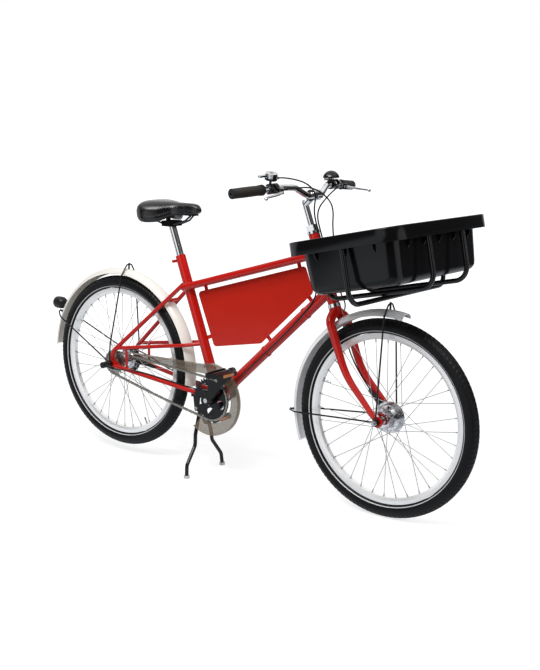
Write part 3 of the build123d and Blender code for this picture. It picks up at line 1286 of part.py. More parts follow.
def saddle_bumpers():
    """Return the rubber bumpers between the rails' tails and the base."""
    clamp = post_top()
    base = saddle_base_height()
    tail = clamp.X - (SADDLE_LENGTH - SADDLE_NOSE_AHEAD)
    spots = [Vector(tail + SADDLE_LENGTH * 0.27, side * RAIL_HALF_GAP * 1.5, base) for side in SIDES]
    bumpers = [rod(spot - Vector(0, 0, BUMPER_LENGTH), spot, BUMPER_RADIUS) for spot in spots]
    return [trim(bumper, *saddle_rails()) for bumper in bumpers]


# Steering


def fork():
    """Return the fork: a hollow steerer, two curved blades and their ends, joined."""
    steerer_top = HEAD_TUBE_START + HEAD_TUBE_LENGTH + UPPER_CUP + HEADSET_NUT
    steerer = rod(steer(CROWN_ALONG - CROWN_DEPTH), steer(steerer_top), STEERER_RADIUS)
    crown = rod(steer(CROWN_ALONG - CROWN_DEPTH), steer(CROWN_ALONG), CUP_RADIUS - 1)
    race = rod(steer(CROWN_ALONG), steer(HEAD_TUBE_START - LOWER_CUP - FACE_GAP), CUP_RADIUS - 1)
    crown_foot = steer(CROWN_ALONG - CROWN_DEPTH / 2)
    inward = (FRONT_AXLE - crown_foot).normalized()
    post = rod(crown_foot, FRONT_AXLE - inward * (GUARD_CROWN + SEAT_GAP), GUARD_POST_RADIUS)
    bodies = [steerer, crown, race, post]
    for side in SIDES:
        points = [steer(CROWN_ALONG - BLADE_RADIUS, 0, side * BLADE_ROOT_SPREAD),
                  steer(CROWN_ALONG - BLADE_SHOULDER, 0, side * BLADE_SPREAD),
                  steer(CROWN_ALONG - BLADE_BEND_ALONG, 0, side * BLADE_SPREAD),
                  FRONT_AXLE + STEER_UP * BLADE_TIP_RADIUS - STEER_AHEAD * BLADE_TIP_RADIUS / 2
                  + SIDEWAYS * side * FORK_END_Y]
        bends = [BLADE_SHOULDER_RADIUS, BLADE_BEND_RADIUS]
        bodies.append(tapered(points, bends, BLADE_RADIUS, BLADE_TIP_RADIUS))
        low = min(side * (FORK_END_Y - FORK_END_THICK / 2), side * (FORK_END_Y + FORK_END_THICK / 2))
        end_plate = rod(Vector(FRONT_AXLE.X, low, FRONT_AXLE.Z),
                        Vector(FRONT_AXLE.X, low + FORK_END_THICK, FRONT_AXLE.Z), BLADE_RADIUS + 2)
        bodies.append(end_plate)
    hub_room = rod(FRONT_AXLE - SIDEWAYS * FRONT_ENDS / 2, FRONT_AXLE + SIDEWAYS * FRONT_ENDS / 2,
                   CONE_RADIUS + 2)
    axle_hole = rod(FRONT_AXLE - SIDEWAYS * FRONT_ENDS, FRONT_AXLE + SIDEWAYS * FRONT_ENDS,
                    AXLE_RADIUS + RUN_CLEAR)
    quill_hole = rod(steer(QUILL_BOTTOM - QUILL_RADIUS), steer(steerer_top + 1), QUILL_RADIUS + RUN_CLEAR)
    nut_room = []
    for side in SIDES:
        face = FORK_END_Y + FORK_END_THICK / 2
        nut_room.append(rod(FRONT_AXLE + SIDEWAYS * side * face,
                            FRONT_AXLE + SIDEWAYS * side * (face + 3 * AXLE_NUT_LENGTH),
                            STAY_EYE_RADIUS + 3 * STAY_WIRE))
    return trim(join(*bodies), hub_room, axle_hole, quill_hole, *nut_room)


def headset_nuts():
    """Return the lock nut above the upper cup."""
    low = HEAD_TUBE_START + HEAD_TUBE_LENGTH + UPPER_CUP + FACE_GAP
    plane = Plane(steer(low), z_dir=STEER_UP)
    top = HEADSET_NUT - FACE_GAP
    nut = extrude(plane * RegularPolygon(HEADSET_NUT_RADIUS, 8), amount=top).solid()
    return trim(nut, rod(steer(low - 1), steer(low + HEADSET_NUT + 1), STEERER_RADIUS + RUN_CLEAR))


def bar_points(side):
    """Return the handlebar's bend points on one side, from the middle outwards."""
    return [steer(BAR_RISE_ALONG, BAR_AHEAD, side * BAR_STRAIGHT),
            steer(BAR_RISE_ALONG + BAR_SHOULDER_UP, BAR_AHEAD - BAR_SHOULDER_BACK, side * BAR_SHOULDER_Y),
            steer(BAR_RISE_ALONG + BAR_TURN_UP, BAR_AHEAD - BAR_TURN_BACK, side * BAR_TURN_Y),
            steer(BAR_RISE_ALONG + BAR_END_UP, BAR_AHEAD - BAR_END_BACK, side * BAR_END_Y)]


def grip_line(side):
    """Return the outer end of the bar and the direction from it towards the middle."""
    turn, end = bar_points(side)[2:]
    return end, (turn - end).normalized()


def handlebar():
    """Return the bent handlebar as one tube."""
    right, left = bar_points(-1), bar_points(1)
    points = list(reversed(right)) + left
    bends = [BAR_TURN_BEND, *[BAR_SHOULDER_BEND] * 4, BAR_TURN_BEND]
    return bent(points, bends, BAR_ENDS_RADIUS, BAR_WALL)


def stem():
    """Return the stem: a quill, a forward extension and a split clamp round the bar."""
    quill = rod(steer(QUILL_BOTTOM), steer(QUILL_TOP), QUILL_RADIUS)
    centre = steer(BAR_RISE_ALONG, BAR_AHEAD)
    reach = SIDEWAYS * STEM_CLAMP_WIDTH / 2
    clamp = rod(centre - reach, centre + reach, STEM_CLAMP_RADIUS)
    extension = rod(steer(QUILL_TOP - QUILL_RADIUS), centre, QUILL_RADIUS)
    cap = rod(steer(QUILL_TOP), steer(QUILL_TOP + QUILL_RADIUS * 0.4), QUILL_RADIUS * 0.8)
    bolt_spot = centre + STEER_AHEAD * STEM_CLAMP_RADIUS - STEER_UP * STEM_CLAMP_RADIUS * 0.6
    bolt = rod(bolt_spot - reach * 0.6, bolt_spot + reach * 0.6, BOLT_HEAD_RADIUS)
    bore = rod(centre - reach * 2, centre + reach * 2, BAR_ENDS_RADIUS + RUN_CLEAR)
    return trim(join(quill, cap, extension, clamp, bolt), bore)


def grip(side):
    """Return a grip sleeve with a rounded end cap."""
    end, inward = grip_line(side)
    tip = end - inward * GRIP_CAP
    sleeve = rod(tip, end + inward * GRIP_LENGTH, GRIP_RADIUS)
    collar = rod(end + inward * (GRIP_LENGTH - 2 * GRIP_CAP), end + inward * GRIP_LENGTH, GRIP_RADIUS + 1.5)
    bore = rod(end, end + inward * GRIP_LENGTH * 2, BAR_ENDS_RADIUS + RUN_CLEAR)
    return trim(join(sleeve, collar), bore)


def lever_frame(side):
    """Return the lever's clamp place, its inward and forward directions and its pivot."""
    end, inward = grip_line(side)
    clamp = end + inward * (GRIP_LENGTH + LEVER_ALONG_GRIP)
    forward = (STEER_AHEAD * 0.86 - STEER_UP * 0.5).normalized()
    forward = (forward - inward * forward.dot(inward)).normalized()
    pivot = clamp + forward * LEVER_PIVOT_OUT
    return clamp, inward, forward, pivot


def lever_bracket(side):
    """Return a lever bracket: a clamp ring on the bar, a body and two cheeks for the pivot."""
    clamp, inward, forward, pivot = lever_frame(side)
    normal = inward.cross(forward).normalized()
    half = inward * LEVER_CLAMP_WIDTH / 2
    ring = rod(clamp - half, clamp + half, LEVER_CLAMP_RADIUS)
    neck = rod(clamp, pivot, LEVER_BOSS_RADIUS)
    cheeks = rod(pivot - normal * LEVER_THICK, pivot + normal * LEVER_THICK, LEVER_BOSS_RADIUS)
    slot_half = LEVER_THICK / 2 + FACE_GAP
    slot_plane = Plane(pivot - normal * slot_half, x_dir=forward, z_dir=normal)
    opening = Pos(0, LEVER_BOSS_RADIUS) * Rectangle(LEVER_BOSS_RADIUS * 2.6, LEVER_BOSS_RADIUS * 5)
    slot = extrude(slot_plane * opening, amount=2 * slot_half).solid()
    pin = rod(pivot - normal * LEVER_THICK, pivot + normal * LEVER_THICK, LEVER_PIVOT_PIN)
    barrel = rod(clamp + forward * BARREL_OUT, barrel_tip(side), BARREL_RADIUS)
    bore = rod(clamp - half * 3, clamp + half * 3, BAR_ENDS_RADIUS + RUN_CLEAR)
    return join(trim(join(ring, neck, cheeks, barrel), slot, bore), pin)


def barrel_tip(side):
    """Return the place where the cable leaves a lever bracket's barrel."""
    clamp, inward, forward, _ = lever_frame(side)
    return clamp + forward * BARREL_OUT + inward * BARREL_LENGTH


def brake_lever(side):
    """Return a brake lever: a hub on the pivot pin and a blade that runs out past the grip."""
    _, inward, forward, pivot = lever_frame(side)
    normal = inward.cross(forward).normalized()
    half = normal * LEVER_THICK / 2
    hub = rod(pivot - half, pivot + half, LEVER_BOSS_RADIUS)
    knee = pivot - inward * LEVER_LENGTH * 0.28 + forward * LEVER_REACH * 0.46
    elbow = pivot - inward * LEVER_LENGTH * 0.72 + forward * LEVER_REACH * 0.74
    tip = pivot - inward * LEVER_LENGTH + forward * LEVER_REACH
    blade = bent([pivot, knee, elbow, tip], LEVER_LENGTH * 0.2, LEVER_BLADE)
    ball = Solid.make_sphere(LEVER_BLADE + 2.0, Plane(tip))
    bore = rod(pivot - half * 3, pivot + half * 3, LEVER_PIVOT_PIN + RUN_CLEAR)
    return trim(join(hub, blade, ball), bore)


def shifter_frame():
    """Return the shifter's clamp place, the direction along the bar and its post's direction."""
    end, inward = grip_line(-1)
    clamp = end + inward * (GRIP_LENGTH + SHIFTER_ALONG_GRIP)
    lean = STEER_UP + STEER_AHEAD * SHIFTER_LEAN
    up = (lean - inward * lean.dot(inward)).normalized()
    return clamp, inward, up


def shifter_outlet():
    """Return the ends of the stub that takes the gear cable out of the shifter."""
    clamp, inward, up = shifter_frame()
    stop = clamp + up * (LEVER_CLAMP_RADIUS + SHIFTER_POST - SHIFTER_HEIGHT * 0.32)
    return stop, stop + inward * SHIFTER_RADIUS * 1.5


def shifter_body():
    """Return the shifter's clamp, its post and the round base under the lever."""
    clamp, inward, up = shifter_frame()
    half = inward * SHIFTER_CLAMP_WIDTH / 2
    ring = rod(clamp - half, clamp + half, LEVER_CLAMP_RADIUS)
    top = clamp + up * (LEVER_CLAMP_RADIUS + SHIFTER_POST)
    post = rod(clamp, top, SHIFTER_CLAMP_WIDTH * 0.42)
    base = rod(top - up * SHIFTER_HEIGHT * 0.5, top, SHIFTER_RADIUS)
    axle = rod(top, top + up * SHIFTER_HEIGHT, SHIFTER_RADIUS * 0.3)
    outlet = rod(*shifter_outlet(), CABLE_RADIUS * 1.8)
    bore = rod(clamp - half * 2, clamp + half * 2, BAR_ENDS_RADIUS + RUN_CLEAR)
    return trim(join(ring, post, base, axle, outlet), bore)


def shifter_lever():
    """Return the shifter's drum with its thumb paddle, which turns on the post's axle."""
    clamp, inward, up = shifter_frame()
    low = clamp + up * (LEVER_CLAMP_RADIUS + SHIFTER_POST + FACE_GAP)
    high = low + up * (SHIFTER_HEIGHT - FACE_GAP)
    drum = rod(low, high, SHIFTER_RADIUS)
    plane = Plane(low + up * SHIFTER_HEIGHT * 0.3, x_dir=inward * -1, z_dir=up)
    shank = plane * Pos(SHIFTER_LEVER_LENGTH / 2, 0) * Rectangle(SHIFTER_LEVER_LENGTH, SHIFTER_LEVER_WIDTH)
    paddle = extrude(shank, amount=SHIFTER_HEIGHT * 0.4).solid()
    thumb = rod(plane.from_local_coords(Vector(SHIFTER_LEVER_LENGTH, 0, 0)),
                plane.from_local_coords(Vector(SHIFTER_LEVER_LENGTH, 0, SHIFTER_HEIGHT * 0.4)),
                SHIFTER_LEVER_WIDTH * 0.6)
    bore = rod(low - up, high + up, SHIFTER_RADIUS * 0.3 + RUN_CLEAR)
    return trim(join(drum, paddle, thumb), bore)


def bell_frame():
    """Return the bell's clamp place on the bar, the bar's direction there and the bell's axis."""
    shoulder, turn = bar_points(1)[1:3]
    share = (BELL_Y - shoulder.Y) / (turn.Y - shoulder.Y)
    clamp = shoulder + (turn - shoulder) * share
    along = (turn - shoulder).normalized()
    up = (Vector(0, 0, 1) - along * along.Z).normalized()
    return clamp, along, up


def bell():
    """Return the bell's clamp with its post, and the hollow dome on top."""
    clamp, along, up = bell_frame()
    half = along * LEVER_CLAMP_WIDTH / 2
    ring = rod(clamp - half, clamp + half, LEVER_CLAMP_RADIUS - 1)
    top = clamp + up * BELL_POST
    crest = top + up * BELL_HEIGHT
    post = rod(clamp, crest - up * BELL_SHEET / 2, BELL_POST_RADIUS)
    foot = rod(top - up * BELL_SHEET * 3, top - up * BELL_SHEET * 2, BELL_FOOT_RADIUS)
    bore = rod(clamp - half * 2, clamp + half * 2, BAR_ENDS_RADIUS + RUN_CLEAR)
    base = trim(join(ring, post, foot), bore)
    round_radius = (BELL_RADIUS ** 2 + BELL_HEIGHT ** 2) / (2 * BELL_HEIGHT)
    middle = Plane(crest - up * round_radius, x_dir=along, z_dir=up)
    below = rod(top - up * 2 * round_radius, top, 2 * round_radius)
    dome = trim(Solid.make_sphere(round_radius, middle, -90, 90), below,
                Solid.make_sphere(round_radius - BELL_SHEET, middle, -90, 90))
    return join(base, dome)


def bell_lever():
    """Return the striker lever under the bell's dome, with a ring on the bell's post."""
    clamp, along, up = bell_frame()
    low = clamp + up * (BELL_POST - BELL_SHEET * 2 + FACE_GAP)
    high = low + up * BELL_SHEET * 1.5
    ring = rod(low, high, BELL_FOOT_RADIUS)
    tip = (low + high) * 0.5 - along * (BELL_RADIUS + STRIKER_LENGTH)
    arm = rod((low + high) * 0.5, tip, BELL_SHEET * 0.7)
    pad = rod(tip - up * BELL_SHEET * 2, tip + up * BELL_SHEET * 2, BELL_SHEET * 2.2)
    bore = rod(low - up, high + up, BELL_POST_RADIUS + RUN_CLEAR)
    return trim(join(ring, arm, pad), bore)


# Mudguards, stays and lamp


def mudguard(axle, start, stop):
    """Return an arched mudguard between two angles ahead of straight up."""
    crown, edge, half, sheet = GUARD_CROWN, GUARD_CROWN - GUARD_EDGE_DROP, GUARD_HALF_WIDTH, MUDGUARD_SHEET
    edges = [ThreePointArc((edge, -half), (crown, 0), (edge, half)),
             Line((edge, half), (edge - sheet, half - sheet)),
             ThreePointArc((edge - sheet, half - sheet), (crown - sheet, 0), (edge - sheet, sheet - half)),
             Line((edge - sheet, sheet - half), (edge, -half))]
    plane = Plane(axle, x_dir=(0, 0, 1), z_dir=(-1, 0, 0))
    low, high = min(start, stop), max(start, stop)
    return turned_face(axle, plane * make_face(edges), low, high - low)


def guard_stay(axle, angle, face, layer, kink=None):
    """Return a wire stay: an eye at each axle end, two legs and an arch over the mudguard."""
    eye_y = face + (2 * layer + 1) * STAY_EYE_HALF + (layer + 1) * SEAT_GAP
    crest = GUARD_CROWN + STAY_HOOP_RISE
    edge = GUARD_CROWN - GUARD_EDGE_DROP
    side_y = GUARD_HALF_WIDTH + STAY_EDGE_CLEAR
    start = AXLE_RADIUS + STAY_EYE_RADIUS / 2
    half = [(start, eye_y), (edge, side_y), (crest, STAY_EDGE_CLEAR * 1.3)]
    if kink:
        half.insert(1, kink)
    outline = [(r, -y) for r, y in half] + [(r, y) for r, y in reversed(half)]
    wire = bent([ahead_up(axle, angle, r, y) for r, y in outline], STAY_BEND, STAY_WIRE)
    stud = rod(ahead_up(axle, angle, GUARD_CROWN + SEAT_GAP / 2),
               ahead_up(axle, angle, crest + 2 * STAY_WIRE),
               STAY_STUD_RADIUS)
    eyes = []
    for side in SIDES:
        inner, outer = side * (eye_y - STAY_EYE_HALF), side * (eye_y + STAY_EYE_HALF)
        eyes.append(rod(axle + SIDEWAYS * inner, axle + SIDEWAYS * outer, STAY_EYE_RADIUS + STAY_WIRE))
    reach = SIDEWAYS * (eye_y + 4 * STAY_WIRE)
    return trim(join(wire, stud, *eyes), rod(axle - reach, axle + reach, AXLE_RADIUS + RUN_CLEAR))


def rear_lamp():
    """Return the tail lamp's dome and its foot on the mudguard, with the lens in front of it to the rear."""
    spot = ahead_up(REAR_AXLE, LAMP_ANGLE, GUARD_CROWN + SEAT_GAP)
    out = ahead_up(REAR_AXLE, LAMP_ANGLE, 1.0) - REAR_AXLE
    centre = spot + out * LAMP_STAND_OFF
    back = Vector(-1, 0, 0)
    case = join(rod(centre, centre + back * (LAMP_DEPTH - LENS_DEPTH), LAMP_RADIUS),
                trim(Solid.make_sphere(LAMP_RADIUS, Plane(centre)),
                     rod(centre, centre + back * LAMP_RADIUS * 2, LAMP_RADIUS * 1.5)))
    lens_start = centre + back * (LAMP_DEPTH - LENS_DEPTH)
    lens = rod(lens_start, lens_start + back * LENS_DEPTH, LAMP_RADIUS * 0.94)
    foot = rod(spot, centre, LAMP_FOOT)
    return trim(join(case, foot), lens), lens


# Stand


def stand_pivot_spot():
    """Return the middle of the stand's pivot pin."""
    return Vector(-STAND_PIVOT_BACK, 0, STAND_PIVOT_HEIGHT)


def stand_bracket():
    """Return the block under the chain stays, with two cheeks that hold the pivot pin."""
    pivot = stand_pivot_spot()
    rear, front = chain_stay_line(1)
    share = (pivot.X - rear.X) / (front.X - rear.X)
    stay_z = rear.Z + (front.Z - rear.Z) * share
    stay_y = rear.Y + (front.Y - rear.Y) * share
    half = STAND_BLOCK_LENGTH / 2
    low = stay_z - CHAIN_STAY_RADIUS - STAND_BLOCK_HEIGHT / 2
    block = Solid.make_box(STAND_BLOCK_LENGTH, 2 * stay_y, STAND_BLOCK_HEIGHT,
                           Plane((pivot.X - half, -stay_y, low)))
    cheeks = []
    inner = STAND_YOKE_HALF + FACE_GAP
    for side in SIDES:
        low_y = min(side * inner, side * (inner + STAND_CHEEK))
        narrow = STAND_YOKE_RADIUS * 0.8
        outline = [(pivot.X - half * 0.7, low + 2), (pivot.X - narrow, pivot.Z - STAND_YOKE_RADIUS),
                   (pivot.X + narrow, pivot.Z - STAND_YOKE_RADIUS), (pivot.X + half * 0.7, low + 2)]
        cheeks.append(side_plate(outline, low_y, STAND_CHEEK))
    reach = SIDEWAYS * (inner + 2 * STAND_CHEEK)
    pin_hole = rod(pivot - reach, pivot + reach, STAND_PIN_RADIUS + RUN_CLEAR)
    stays = [rod(*chain_stay_line(side), CHAIN_STAY_RADIUS + SEAT_GAP / 2) for side in SIDES]
    return trim(join(block, *cheeks), pin_hole, *stays)


def stand_pin():
    """Return the stand's pivot pin with a head at each end."""
    pivot = stand_pivot_spot()
    face = STAND_YOKE_HALF + FACE_GAP + STAND_CHEEK + SEAT_GAP / 2
    shank = rod(pivot - SIDEWAYS * face, pivot + SIDEWAYS * face, STAND_PIN_RADIUS)
    heads = [rod(pivot + SIDEWAYS * side * face, pivot + SIDEWAYS * side * (face + BOLT_HEAD),
                 STAND_PIN_RADIUS + 3)
             for side in SIDES]
    return join(shank, *heads)


def stand_leg_points(side):
    """Return a leg's bend points, from the yoke down to the foot."""
    places = [(STAND_LEG_TOP_Y, STAND_PIVOT_HEIGHT), STAND_HIP, STAND_KNEE, STAND_ANKLE,
              (STAND_HALF_TRACK, FOOT_HEIGHT * 0.4)]
    lean = -STAND_PIVOT_BACK / STAND_PIVOT_HEIGHT
    return [Vector(lean * z, side * y, z) for y, z in places]


def stand_legs():
    """Return the two legs on their common yoke, bored for the pivot pin."""
    pivot = stand_pivot_spot()
    reach = SIDEWAYS * STAND_YOKE_HALF
    yoke = rod(pivot - reach, pivot + reach, STAND_YOKE_RADIUS)
    legs = [bent(stand_leg_points(side), STAND_BEND, STAND_LEG_RADIUS) for side in SIDES]
    return trim(join(yoke, *legs), rod(pivot - reach * 2, pivot + reach * 2, STAND_PIN_RADIUS + RUN_CLEAR))


def stand_feet(legs):
    """Return the rubber feet that the legs stand in."""
    feet = []
    for side in SIDES:
        base = Vector(0, side * STAND_HALF_TRACK, 0)
        feet.append(trim(rod(base, base + Vector(0, 0, FOOT_HEIGHT), FOOT_RADIUS), legs))
    return feet


# Gear box on the axle end and the cables


def gear_box_arm():
    """Return the ends of the shift box's arm, which takes the gear cable."""
    face = nut_face(REAR_ENDS, DROPOUT_THICK) + AXLE_NUT_LENGTH + SEAT_GAP
    root = REAR_AXLE - SIDEWAYS * (face + GEAR_BOX_LENGTH * 0.6)
    return root, root + Vector(1, 0, -0.14).normalized() * GEAR_BOX_ARM


def gear_shift_box():
    """Return the shift box on the right end of the rear axle, with the arm that takes the gear cable."""
    face = nut_face(REAR_ENDS, DROPOUT_THICK) + AXLE_NUT_LENGTH + SEAT_GAP
    start = REAR_AXLE - SIDEWAYS * face
    case = rod(start, start - SIDEWAYS * GEAR_BOX_LENGTH, GEAR_BOX_RADIUS)
    arm = rod(*gear_box_arm(), GEAR_BOX_RADIUS * 0.45)
    hole = rod(start + SIDEWAYS, start - SIDEWAYS * (AXLE_STICK_OUT + RUN_CLEAR), AXLE_RADIUS + RUN_CLEAR)
    return trim(join(case, arm), hole)


def meeting_points(side):
    """Return the place where a bar cable meets its frame cable, and the next point down."""
    return steer(CABLE_MEETS, 26.0, side * 7.0), steer(CABLE_MEETS - 50.0, 24.0, side * 5.5)


def bar_cable(side):
    """Return the steering part of a cable: the gear cable on the right, the rear brake cable on the left."""
    meet, below = meeting_points(side)
    if side < 0:
        start, tip = shifter_outlet()
        loop = [steer(800, 88, side * 92), steer(764, 76, side * 32)]
    else:
        start, tip = barrel_tip(side) - lever_frame(side)[1], barrel_tip(side)
        loop = [steer(782, 92, side * 96), steer(752, 72, side * 30)]
    away = (tip - start).normalized()
    up = (meet - below).normalized()
    points = [tip + away * SEAT_GAP / 2, tip + away * CABLE_LEAD, *loop,
              meet + up * CABLE_LEAD, meet + up * SEAT_GAP]
    return cord(points)


def down_tube_flank(share, side):
    """Return a cable place beside the down tube, at a share of its length from the head tube."""
    run = BRACKET - DOWN_TUBE_END
    below = Vector(-run.Z, 0, run.X).normalized()
    reach = DOWN_TUBE_RADIUS + CABLE_CLIP_THICK + CABLE_RADIUS + SEAT_GAP
    lean = radians(CABLE_LEAN)
    spot = DOWN_TUBE_END + run * share
    return spot + SIDEWAYS * side * reach * cos(lean) + below * reach * sin(lean)


def frame_cable(side):
    """Return the fixed part of a cable, from the headset to the rear hub."""
    meet, below = meeting_points(side)
    back, front = chain_stay_line(side)
    stay = front - back
    lift = Vector(0, 0, CHAIN_STAY_RADIUS + CABLE_RADIUS + 2 * SEAT_GAP)
    on_stay = [front - stay * 0.12 + lift, back + stay * 0.36 + lift]
    over_shell = BRACKET + Vector(12, side * (SEAT_TUBE_RADIUS + 3 * CABLE_RADIUS),
                                  BRACKET_SHELL_RADIUS + 2 * CABLE_RADIUS)
    if side < 0:
        root, end = gear_box_arm()
        away = (end - root).normalized()
        clear = CHAIN_STAY_RADIUS + CABLE_RADIUS
        tail = [back + stay * 0.2 + Vector(0, side * clear, clear), end + away * CABLE_LEAD,
                end + away * SEAT_GAP / 2]
    else:
        anchor = REAR_FIN_RADIUS + 2 * CABLE_RADIUS
        tail = [REAR_AXLE + Vector(anchor * 1.8, REAR_HUB_END_LEFT_Y + REAR_UNIT_DEPTH, anchor * 0.35),
                ahead_up(REAR_AXLE, 50.0, anchor, REAR_HUB_END_LEFT_Y + REAR_UNIT_DEPTH * 0.6)]
    points = [meet - (meet - below).normalized() * SEAT_GAP / 2, below, steer(548, 24.0, side * 6),
              steer(530, 20.5, side * 18), steer(510, -2, side * 25), steer(490, -28, side * 24.4),
              down_tube_flank(0.1, side), down_tube_flank(0.9, side), over_shell, *on_stay, *tail]
    return cord(points)


def cable_clips():
    """Return the bands round the down tube that hold both frame cables."""
    run = BRACKET - DOWN_TUBE_END
    half = run.normalized() * CABLE_CLIP_WIDTH / 2
    bands = []
    for share in CABLE_CLIPS_AT:
        spot = DOWN_TUBE_END + run * share
        outer = rod(spot - half, spot + half, DOWN_TUBE_RADIUS + CABLE_CLIP_THICK)
        bands.append(trim(outer, rod(spot - half * 2, spot + half * 2, DOWN_TUBE_RADIUS + SEAT_GAP / 2)))
    return bands


def front_brake_cable():
    """Return the front brake cable, from the right lever past the headset and down behind the left blade."""
    start = barrel_tip(-1) + lever_frame(-1)[1] * SEAT_GAP / 2
    lead = start + lever_frame(-1)[1] * CABLE_LEAD
    arm_face = DRUM_OPEN_FACE_Y + FACE_GAP + FRONT_PLATE_THICK
    end = FRONT_AXLE + front_arm_line() * REACTION_ARM_LENGTH * 0.93
    points = [start, lead, steer(778, 104, -84), steer(738, 104, -16), steer(700, 96, 8),
              steer(640, 70, 6), steer(430, 31, 4), steer(398, 14, 50), steer(362, -22, 66),
              steer(318, -24, 48), steer(190, -17, 39), end + SIDEWAYS * (arm_face + CABLE_RADIUS + SEAT_GAP)]
    return cord(points)


def build():
    """Build every piece of the bicycle."""
    keep("main_frame", *main_frame())
    keep("rear_triangle", *rear_triangle())
    keep("frame_panel", frame_panel())
    keep("frame_bolts", *frame_bolts())
    keep("bearing_cups", *bearing_cups())
    keep("tray", tray())
    keep("tray_carrier", *tray_carrier())
    keep("rear_mudguard", mudguard(REAR_AXLE, REAR_GUARD_FROM, REAR_GUARD_TO))
    keep("chain_guard", chain_guard())
    keep("chain", chain())
    keep("rear_axle", axle_set(REAR_AXLE, REAR_ENDS, DROPOUT_THICK, -CHAIN_LINE - TOOTH_THICK * 2 - FACE_GAP,
                               REAR_HUB_END_LEFT_Y + REAR_UNIT_DEPTH + 2 * FACE_GAP))
    keep("rear_brake_plate", rear_brake_plate())
    keep("gear_shift_box", gear_shift_box())
    keep("seatpost", pipe(SEAT_TOP - SEAT_UP * POST_INSERT, post_top(), SEAT_POST_RADIUS, POST_WALL))
    keep("saddle_clamp", saddle_clamp())
    keep("saddle_rails", *saddle_rails())
    keep("saddle_base", saddle_base())
    keep("saddle_cushion", saddle_cushion())
    keep("saddle_bumpers", *saddle_bumpers())
    keep("fork", fork())
    keep("headset_nuts", headset_nuts())
    keep("stem", stem())
    keep("handlebar", handlebar())
    keep("grips", *[grip(side) for side in SIDES])
    keep("lever_brackets", *[lever_bracket(side) for side in SIDES])
    keep("shifter_body", shifter_body())
    keep("shifter_lever", shifter_lever())
    keep("bell", bell())
    keep("bell_lever", bell_lever())
    keep("front_mudguard", mudguard(FRONT_AXLE, FRONT_GUARD_FROM, FRONT_GUARD_TO))
    keep("front_axle", axle_set(FRONT_AXLE, FRONT_ENDS, FORK_END_THICK, FRONT_HUB_END_Y - FACE_GAP,
                                DRUM_OPEN_FACE_Y + 2 * FRONT_PLATE_THICK + 2 * FACE_GAP))
    keep("front_brake_plate", front_brake_plate())
    for name, axle in (("front", FRONT_AXLE), ("rear", REAR_AXLE)):
        keep(f"{name}_tyre", tyre(axle))
        keep(f"{name}_rim", rim(axle))
    keep("front_hub", front_hub())
    keep("rear_hub", rear_hub())
    keep("front_spokes", *spokes(FRONT_AXLE, ((FRONT_SMALL_FLANGE_Y, FRONT_SMALL_FLANGE),
                                              (FRONT_LARGE_FLANGE_Y, FRONT_LARGE_FLANGE))))
    rear_flanges = ((REAR_FLANGE_RIGHT_Y, REAR_FLANGE), (REAR_FLANGE_LEFT_Y, REAR_FLANGE))
    keep("rear_spokes", *spokes(REAR_AXLE, rear_flanges))
    keep("rear_sprocket", sprocket())
    keep("crank_axle", crank_axle())
    keep("chainring", toothed_disc(BRACKET, CHAINRING_TEETH, CRANK_BOSS_RADIUS, CHAINRING_WEB_HOLES))
    keep("crank_arms", *[crank_arm(side) for side in SIDES])
    keep("pedal_spindles", *[pedal_spindle(side) for side in SIDES])
    keep("right_pedal", pedal(-1))
    keep("left_pedal", pedal(1))
    keep("right_brake_lever", brake_lever(-1))
    keep("left_brake_lever", brake_lever(1))
    legs = stand_legs()
    front_face = FORK_END_Y + FORK_END_THICK / 2
    rear_face = REAR_ENDS / 2 + DROPOUT_THICK
    keep("front_mudguard_stays", *[guard_stay(FRONT_AXLE, angle, front_face, layer)
                                   for layer, angle in enumerate(FRONT_STAY_ANGLES)])
    keep("rear_mudguard_stays", *[guard_stay(REAR_AXLE, angle, rear_face, layer,
                                             REAR_STAY_KINK if layer else None)
                                  for layer, angle in enumerate(REAR_STAY_ANGLES)])
    case, lens = rear_lamp()
    keep("rear_lamp", case)
    keep("rear_lamp_lens", lens)
    keep("frame_cables", *[frame_cable(side) for side in SIDES], *cable_clips())
    keep("bar_cables", *[bar_cable(side) for side in SIDES])
    keep("front_brake_cable", front_brake_cable())
    keep("stand_bracket", stand_bracket())
    keep("stand_pivot", stand_pin())
    keep("stand_legs", legs)
    keep("stand_feet", *stand_feet(legs))


build()
os.makedirs("parts", exist_ok=True)
for node, solids in PARTS.items():
    export_step(Compound(solids) if len(solids) > 1 else solids[0], f"parts/{node}.step")
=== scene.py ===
"""Looks of the delivery bicycle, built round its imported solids.

Most solids keep their own shape and only take a finish here. Pieces whose real form is finer than
their solid are made here and stand for it: tyres with tread, chain links, the padded saddle, grips,
lever blades, cables and the moulded tray. The studio at the end holds the floor, light and camera.
"""

import logging
import math
from dataclasses import dataclass, field, replace
from enum import Enum
from typing import Any, Sequence

import bmesh
import bpy
from bpy.types import Material, Mesh, Node, NodeSocket, NodeTree, Object
from mathutils import Matrix, Vector
from mathutils.bvhtree import BVHTree

